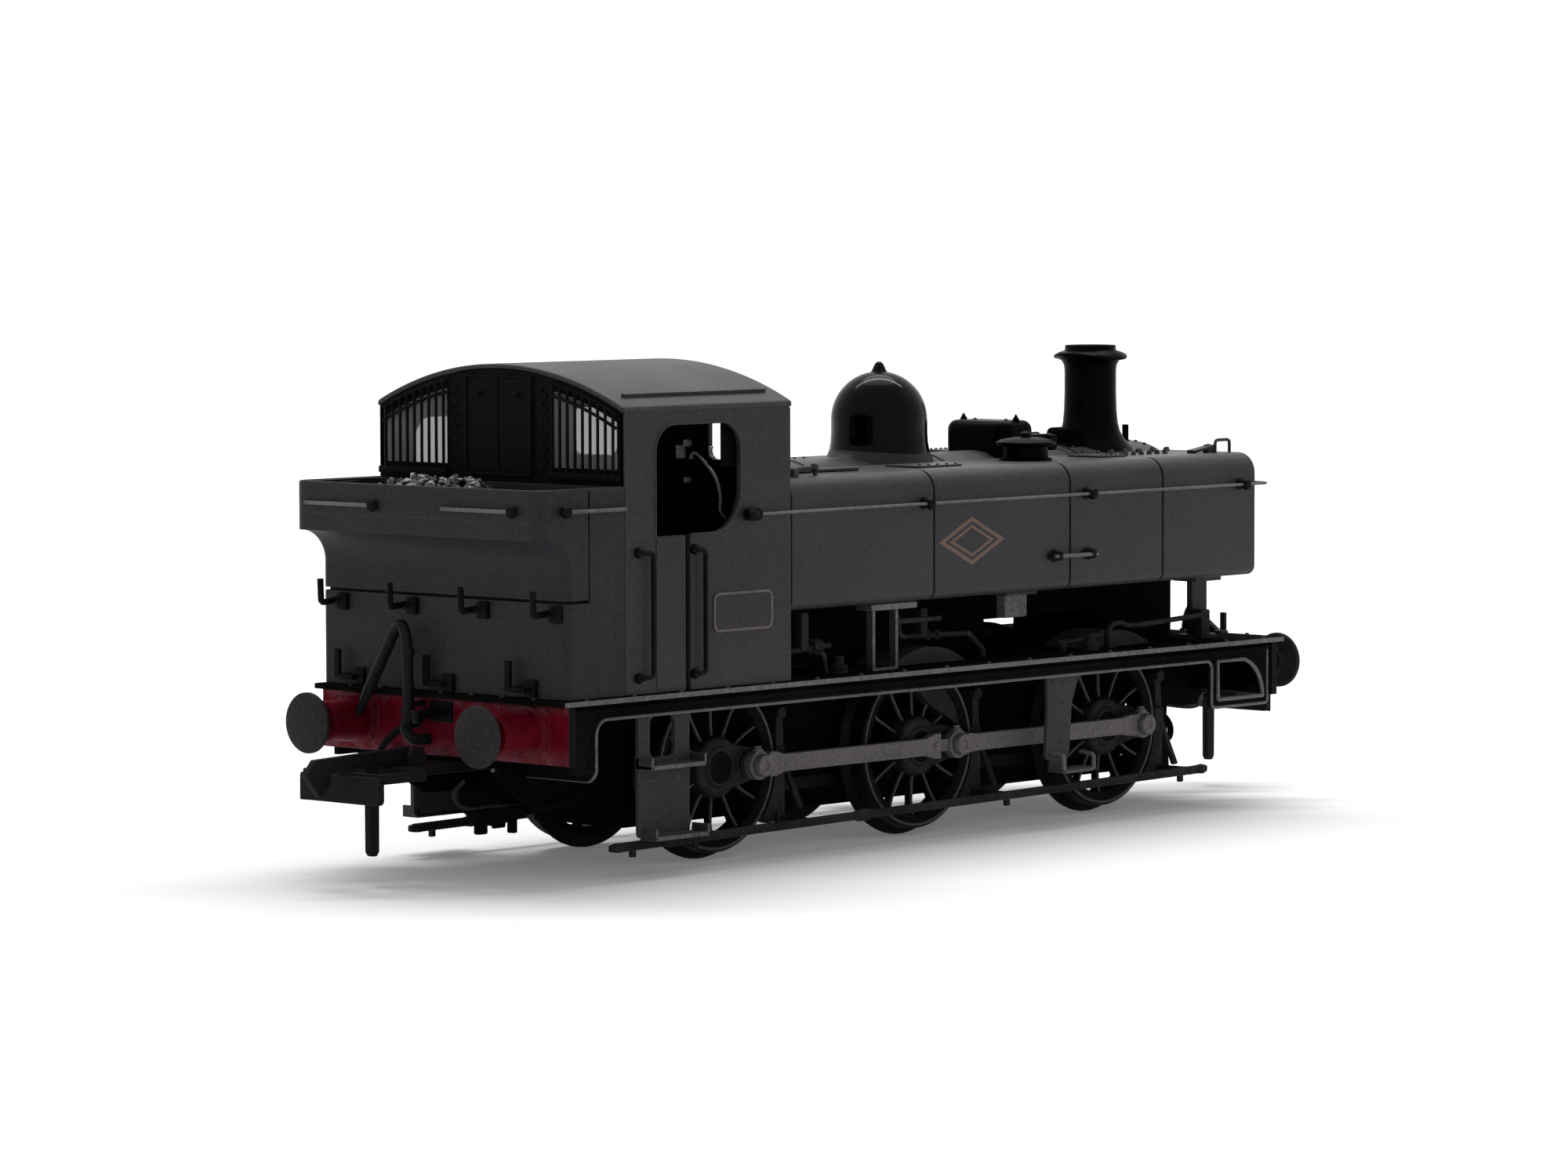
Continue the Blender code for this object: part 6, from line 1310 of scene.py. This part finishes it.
def coal_lumps():
    """Uneven bed that fills the bunker, and the loose lumps heaped on it."""
    dice = random.Random(11)
    bed = bmesh.new()
    bmesh.ops.create_grid(bed, x_segments=14, y_segments=36, size=1.0)
    bmesh.ops.scale(bed, vec=(4.95, 15.65, 1), verts=bed.verts[:])
    bmesh.ops.translate(bed, vec=(-51.2, 0, 35.4), verts=bed.verts[:])
    for vert in bed.verts:
        vert.co.z += dice.uniform(-0.35, 0.35)
    grown = bmesh.ops.extrude_face_region(bed, geom=bed.faces[:])
    bmesh.ops.translate(bed, vec=(0, 0, -1.8), verts=fresh(grown, bmesh.types.BMVert))
    bmesh.ops.recalc_face_normals(bed, faces=bed.faces[:])
    heap = bmesh.new()
    for _ in range(330):
        x, y = dice.uniform(-55.4, -46.6), dice.uniform(-15.1, 15.1)
        crown = math.sin((x + 56.4) / 10.8 * math.pi) / (1 + ((y - 3.0) / 5.4) ** 6)
        spot = Matrix.Translation((x, y, 35.3 + 1.75 * crown + dice.uniform(-0.2, 0.2)))
        angle = dice.uniform(0, 6.28)
        turn = Matrix.Rotation(angle, 4, Vector((dice.random(), dice.random(), dice.random() + 0.1)))
        size = Matrix.Diagonal((dice.uniform(0.4, 1.0), dice.uniform(0.35, 0.8), dice.uniform(0.3, 0.6),
                                1.0))
        bmesh.ops.create_icosphere(heap, subdivisions=1, radius=1.0, matrix=spot @ turn @ size)
    return [bed, heap]


def build_bunker():
    piece("coal_bunker", bunker_shell(), [bunker_shade_black, fitting_black], stands_for=["bunker"])
    piece("bunker_irons_and_rails", bunker_irons(), [fitting_black, wire_grey])
    piece("coal_heap", coal_lumps(), [coal], stands_for=["coal_load"], sharp=12.0)


build_cab()
build_bunker()


# tanks, boiler and mountings
def tank_outline(inset=0.0):
    """Cross-section of the left tank, hollowed out round the boiler."""
    r = 8.65 + inset
    top, low, side = TANK_TOP - inset, 24.1 + inset, TANK_SIDE - inset
    inner = arc(0, BOILER_Z, r, -math.degrees(math.asin((BOILER_Z - low) / r)),
                math.degrees(math.asin((top - BOILER_Z) / r)), 18)
    return inner + arc(side - 2.1, top - 2.1, 2.1, 90, 0, 10) + arc(side - 1.0, low + 1.0, 1.0, 0, -90, 7)


def make_tank():
    """Left tank in four lengths that meet at open seams over a dark core."""
    parts = []
    front = TANK_SEAMS[-1]
    for a, b in zip(TANK_SEAMS, TANK_SEAMS[1:]):
        bm = slab(tank_outline(), "x", a + 0.13, b - 0.13 if b < front else b)
        if b == front:
            ease(bm, 0.85, 5, 40.0, lambda p, q: min(p.x, q.x) > front - 0.1)
        parts.append(ease(bm, 0.09, 2, 60.0))
    parts.append(tint(slab(tank_outline(0.28), "x", -22.55, 49.0), 1))
    return gather(*parts)


def tank_top_details(s):
    """Lids, lifting lugs, the rod to the injector and rivets on one tank."""
    top = TANK_TOP
    parts = []
    lids = ((-20.8, -11.5, 7.2, 10.8), (0.5, 7.0, 8.0, 12.5), (29.5, 33.6, 7.5, 12.0))
    for x0, x1, y0, y1 in lids:
        parts.append(block((x0, x1), sorted((s * y0, s * y1)), (top - 0.1, top + 0.22), 0.08))
        places = [x0 + 0.5 + (x1 - x0 - 1.0) * i / 4 for i in range(5)]
        spots = [(x, s * y, top + 0.2) for x in places for y in (y0 + 0.4, y1 - 0.4)]
        parts.append(rivets(spots, (0, 0, 1), 0.45, 0.16))
    lever = [(-21.6, s * 14.2, top), (-21.4, s * 14.2, top + 0.6), (-16.6, s * 13.9, top + 0.75),
             (-16.3, s * 13.9, top)]
    parts.append(wire(rounded(lever, 0.25, 3, False), 0.42, 8))
    parts += [ball((-16.5, s * 13.9, top + 0.75), 0.95, 12),
              block((-20.2, -19.4), sorted((s * 13.7, s * 14.6)), (top - 0.1, top + 0.75), 0.12)]
    parts.append(wire([(-20.9, s * 12.4, top + 0.28), (-8.6, s * 12.4, top + 0.28)], 0.45, 8))
    y = s * 13.0
    loop = rounded([(47.0, y, top - 0.1), (47.0, y, top + 1.3), (49.4, y, top + 1.3), (49.4, y, top - 0.4)],
                   0.4, 4, False)
    parts.append(wire(loop, 0.36, 8))
    lug = block((43.6, 47.2), sorted((s * 11.9, s * 13.0)), (top, top + 0.35), 0.12)
    parts.append(swung(lug, "Y", -8, (43.6, s * 12.4, top)))
    stud = [(0, top - 0.1), (0.6, top - 0.1), (0.5, top + 0.8), (0, top + 0.95)]
    parts.append(turned(stud, "z", (46.6, s * 12.4, 0), 12))
    spots = [(36.2 + 1.15 * i, s * (6.0 + 0.7 * (i % 2)), top) for i in range(11)]
    spots += [(35.6 + 1.3 * i, s * 10.2, top) for i in range(6)]
    parts.append(rivets(spots, (0, 0, 1), 0.7, 0.4))
    return parts


def tank_side_details(s):
    """Hand grip, and a plain lozenge in thin lines, on one tank side."""
    def out(d):
        return s * (TANK_SIDE + d)

    grip = [wire([(16.2, out(0.75), 27.6), (22.9, out(0.75), 27.55)], 0.42)]
    stem = [(0, -0.1), (0.62, -0.1), (0.66, 0.15), (0.4, 0.35), (0.34, 0.6), (0.5, 0.7), (0.5, 0.9),
            (0, 1.0)]
    for x in (16.9, 22.2):
        grip.append(tint(turned([(r, s * h) for r, h in stem], "y", (x, out(0), 27.6), 14), 1))
        grip.append(tint(block((x - 1.0, x + 1.0), sorted((out(-0.05), out(0.22))), (27.25, 27.95), 0.1), 1))
    mark = []
    x, z = 4.2, 29.7
    for reach, rise, width in ((5.0, 2.4, 0.22), (3.4, 1.6, 0.16)):
        outer = [(x - reach, z), (x, z - rise), (x + reach, z), (x, z + rise)]
        share = 1 - 2.1 * width / rise
        inner = [(x + (px - x) * share, z + (pz - z) * share) for px, pz in outer]
        mark.append(slab(outer, "y", *sorted((out(-0.05), out(0.025))), [inner]))
    return grip + [tint(part, 2) for part in mark]


def make_filler(s):
    """Tank filler with a hinged lid and its clamp."""
    x, y, base = 21.0, s * 9.0, TANK_TOP
    neck = [(0, 0), (2.7, 0), (2.7, 0.2), (2.3, 0.3), (2.3, 1.35), (2.95, 1.5), (3.05, 1.62), (3.05, 1.85),
            (2.6, 2.1), (1.2, 2.35), (0, 2.42)]
    nut = [(0, 2.3), (0.55, 2.3), (0.55, 2.75), (0.3, 2.9), (0, 2.95)]
    return [turned(neck, "z", (x, y, base), 44),
            block((x - 0.4, x + 4.0), (y - 0.45, y + 0.45), (base + 2.1, base + 2.6), 0.15),
            block((x + 2.9, x + 4.1), (y - 0.8, y + 0.8), (base + 0.9, base + 2.5), 0.2),
            turned(nut, "z", (x, y, base), 14)]


def make_handrail(s):
    """Tank handrail with its pillars, turned in round the front of the tank."""
    reach, z = 17.12, 33.7
    y, inner = s * reach, s * 12.0
    path = rounded([(-28.6, y, z), (51.2, y, z), (51.2, s * 11.9, z)], 1.3, 8, False)
    rail = [wire(path, 0.3, 12)]
    for x in (-28.1, -3.1, 21.9, 47.0):
        face = CAB_HALF if x < CAB_FRONT else TANK_SIDE
        far = reach - face
        stem = [(0, 0.0), (0.62, 0.0), (0.62, 0.12), (0.3, 0.25), (0.3, far - 0.45), (0.5, far - 0.36),
                (0.62, far), (0.5, far + 0.33), (0, far + 0.42)]
        rail.append(tint(turned([(r, s * h) for r, h in stem], "y", (x, s * face, z), 16), 1))
    rear_knob = [(0, -1.1), (0.55, -0.9), (0.62, -0.3), (0.5, 0.3), (0.3, 0.5)]
    front_knob = [(0, -0.45), (0.45, -0.4), (0.5, 0), (0.45, 0.4), (0, 0.45)]
    rail.append(tint(turned(rear_knob, "x", (-28.6, y, z), 14), 1))
    rail.append(tint(turned(front_knob, "y", (51.2, inner, z), 12), 1))
    rail.append(tint(wire([(51.2, inner, z), (49.7, inner, z)], 0.5, 10), 1))
    return rail


def saddle(bm, r0, r1, x, barrel):
    """Bends the foot of a turned mounting down over the barrel."""
    for vert in bm.verts:
        out = math.hypot(vert.co.x - x, vert.co.y)
        share = min(1.0, max(0.0, (out - r0) / (r1 - r0)))
        vert.co.z -= share * (barrel - math.sqrt(max(0.0, barrel ** 2 - vert.co.y ** 2)))
    return bm


def build_boiler():
    r = BARREL_R
    barrel = [(0, -22.5), (r, -22.5)]
    for x in (-21.6, -6.0, 14.5, 34.6):
        barrel += [(r, x), (r + 0.12, x + 0.08), (r + 0.12, x + 1.0), (r, x + 1.08)]
    barrel += [(r, 35.74), (0, 35.74)]
    # the barrel's downward faces and the casing blocks below it take the near-black painted shade
    boiler = [lined(turned(barrel, "x", (0, 0, BOILER_Z), 96), (0, 0, -1), 1),
              tint(block((-22.5, 17.96), (-6.15, 6.15), (17.5, 29.4), 0.3), 1),
              tint(block((17.9, 36.7), (-5.9, 5.9), (20.6, 24.5), 0.3), 1)]
    piece("boiler_barrel", boiler, [body_black, frame_black], stands_for=["boiler"])


def build_smokebox():
    r = SMOKEBOX_R
    drum = [(0, 35.8), (r, 35.8), (r, 48.9), (8.34, 49.2), (8.1, 49.4), (0, 49.4)]
    # the drum's downward faces and the saddle block take the near-black painted shade
    box = [lined(turned(drum, "x", (0, 0, BOILER_Z), 96), (0, 0, -1), 1),
           tint(block((36.6, 48.6), (-6.0, 6.0), (17.46, 27.0), 0.4), 1)]
    turns = [math.tau * i / 30 for i in range(30)]
    ring = [(49.4, 7.72 * math.cos(a), BOILER_Z + 7.72 * math.sin(a)) for a in turns]
    box.append(rivets(ring, (1, 0, 0), 0.5, 0.16))
    for x in (36.6, 48.4):
        for k in range(-3, 4):
            a = math.radians(90 + 8 * k)
            out = Vector((0, math.cos(a), math.sin(a)))
            box.append(rivets([Vector((x, 0, BOILER_Z)) + out * r], out, 0.5, 0.16))
    dark = [block((36.6, 39.2), (-1.6, 1.6), (37.4, 39.5), 0.6, 4),
            block((36.0, 39.8), (-2.2, 2.2), (37.2, 37.95), 0.2),
            block((47.95, 48.25), (-0.35, 0.35), (37.4, 39.5), 0.06),
            block((47.2, 48.25), (-0.6, 0.6), (37.5, 37.9), 0.1)]
    box += [tint(part, 1) for part in dark]
    piece("smokebox_drum", box, [body_black, frame_black], stands_for=["smokebox"])


def build_smokebox_door():
    centre = (0, 0, BOILER_Z)
    face = [(0, 49.46), (7.0, 49.46), (7.0, 49.75), (6.85, 49.98), (6.4, 50.1), (5.2, 50.42), (3.6, 50.75),
            (1.8, 50.98), (0, 51.05)]
    boss = [(0, 50.9), (0.75, 50.9), (0.8, 51.25), (0.45, 51.4), (0.4, 51.85), (0, 51.95)]
    door = [turned(face, "x", centre, 72), turned(boss, "x", centre, 20)]
    for angle in (-35, 55):
        arm = wire([(51.5, 0, BOILER_Z), (51.6, 0, BOILER_Z + 1.6), (51.45, 0, BOILER_Z + 2.5)], 0.4, 8,
                   [1.2, 0.9, 1.3])
        door.append(swung(arm, "X", angle, centre))
    strap = [(49.9, -6.9), (50.2, -6.2), (50.62, -4.0), (50.9, -1.6), (51.0, -0.4)]
    strap = [(x + 0.16, y) for x, y in strap] + [(x - 0.3, y) for x, y in reversed(strap)]
    for z in (BOILER_Z - 2.6, BOILER_Z + 2.6):
        door.append(slab(strap, "z", z - 0.45, z + 0.45, soft=0.08))
        hinge = [(0, z - 0.7), (0.42, z - 0.7), (0.42, z + 0.7), (0, z + 0.7)]
        door.append(turned(hinge, "z", (49.95, -7.15, 0), 14))
    for angle in (20, 70, 110, 160, 200, 250, 290, 340):
        y = 7.1 * math.cos(math.radians(angle))
        z = BOILER_Z + 7.1 * math.sin(math.radians(angle))
        door.append(block((49.5, 50.0), (y - 0.3, y + 0.3), (z - 0.3, z + 0.3), 0.1))
    piece("smokebox_front_door", door, [body_black], stands_for=["smokebox_door"])


def build_mountings():
    stack = [(4.75, 36.9), (4.65, 37.66), (4.1, 37.95), (3.55, 38.4), (3.15, 39.0), (2.9, 39.9),
             (2.78, 41.2), (2.72, 43.2), (2.72, 45.4), (2.8, 46.0), (3.05, 46.45), (3.5, 46.8), (3.82, 47.0),
             (3.88, 47.14), (3.8, 47.28), (3.3, 47.4), (2.75, 47.5), (2.68, 47.6), (2.68, 47.94),
             (2.6, 48.06), (2.15, 48.06), (2.05, 47.95), (2.05, 40.0), (0, 40.0)]
    chimney = saddle(turned(stack, "z", (CHIMNEY_X, 0, 0), 72), 2.95, 4.6, CHIMNEY_X, SMOKEBOX_R)
    piece("chimney_stack", [chimney], [chimney_black], stands_for=["chimney"])

    bell = [(5.85, 36.6), (5.75, 37.5), (5.45, 37.8), (5.12, 38.2), (4.96, 38.9), (4.9, 40.0)]
    bell += arc(0, 41.2, 4.9, 0, 78, 13)
    bell += [(0.85, 46.03), (0.72, 46.2), (0.6, 46.5), (0.42, 46.85), (0.2, 47.05), (0, 47.09)]
    dome = saddle(turned(bell, "z", (DOME_X, 0, 0), 88), 4.95, 5.8, DOME_X, BARREL_R)
    for face in dome.faces:
        spot = face.calc_center_median()
        face.material_index = int(math.hypot(spot.x - DOME_X, spot.y) > 5.05)
    nib = turned([(0, 4.7), (0.5, 4.7), (0.4, 5.0), (0.12, 5.5), (0, 5.55)], "x", (DOME_X, 0, 41.0), 14)
    piece("dome_cover", [dome, nib], [gloss_black, body_black], stands_for=["dome"])

    hood = slab(plate_outline(23.25, 28.55, -4.3, 4.3, 1.6, 8), "z", 36.92, 40.65)
    ease(hood, 1.0, 6, 40.0, lambda a, b: a.z > 40 and b.z > 40)
    parts = [hood, slab(plate_outline(22.85, 28.95, -4.7, 4.7, 1.8, 6), "z", 36.9, 37.3, soft=0.1)]
    for y, wide, tall in ((3.55, 0.42, 0.75), (-3.55, 0.42, 0.75), (2.0, 0.3, 0.25), (-2.2, 0.3, 0.25)):
        valve = [(0, 40.4), (wide, 40.5), (wide * 0.9, 40.72), (wide * 0.35, 40.6 + tall * 0.7),
                 (0, 40.62 + tall)]
        parts.append(turned(valve, "z", (25.9, y, 0), 14))
    piece("safety_valve_hood", parts, [chimney_black], stands_for=["safety_valve_cover"])


def build_tanks():
    left = make_tank()
    for name, s in SIDES.items():
        shape = left.copy() if s > 0 else flipped(left)
        piece(f"tank_shell_{name}", [shape], [body_black, fitting_black],
              stands_for=[f"tank_{name}"])
        piece(f"tank_top_fittings_{name}", tank_top_details(s), [body_black])
        piece(f"tank_side_grip_{name}", tank_side_details(s), [wire_grey, fitting_black, lozenge_gilt])
        piece(f"tank_filler_cap_{name}", make_filler(s), [chimney_black],
              stands_for=[f"tank_filler_{name}"])
        piece(f"tank_handrail_{name}", make_handrail(s), [wire_grey, fitting_black],
              stands_for=[f"handrail_{name}"])
    left.free()


build_boiler()
build_smokebox()
build_smokebox_door()
build_mountings()
build_tanks()


# inner works keep their solids
def dress_inner_works():
    looks = {"chassis_block": frame_black, "keeper_plate": frame_black, "pickup_strip_right": tarnish,
             "pickup_strip_left": tarnish, "motor_can": bright_steel, "motor_shaft": bright_steel,
             "flywheel": brass, "worm": brass, "drive_gear": brass, "coupling_pin_rear": bright_steel,
             "coupling_pin_front": bright_steel}
    for name, look in looks.items():
        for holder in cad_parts[name].material_slots:
            holder.material = look


dress_inner_works()
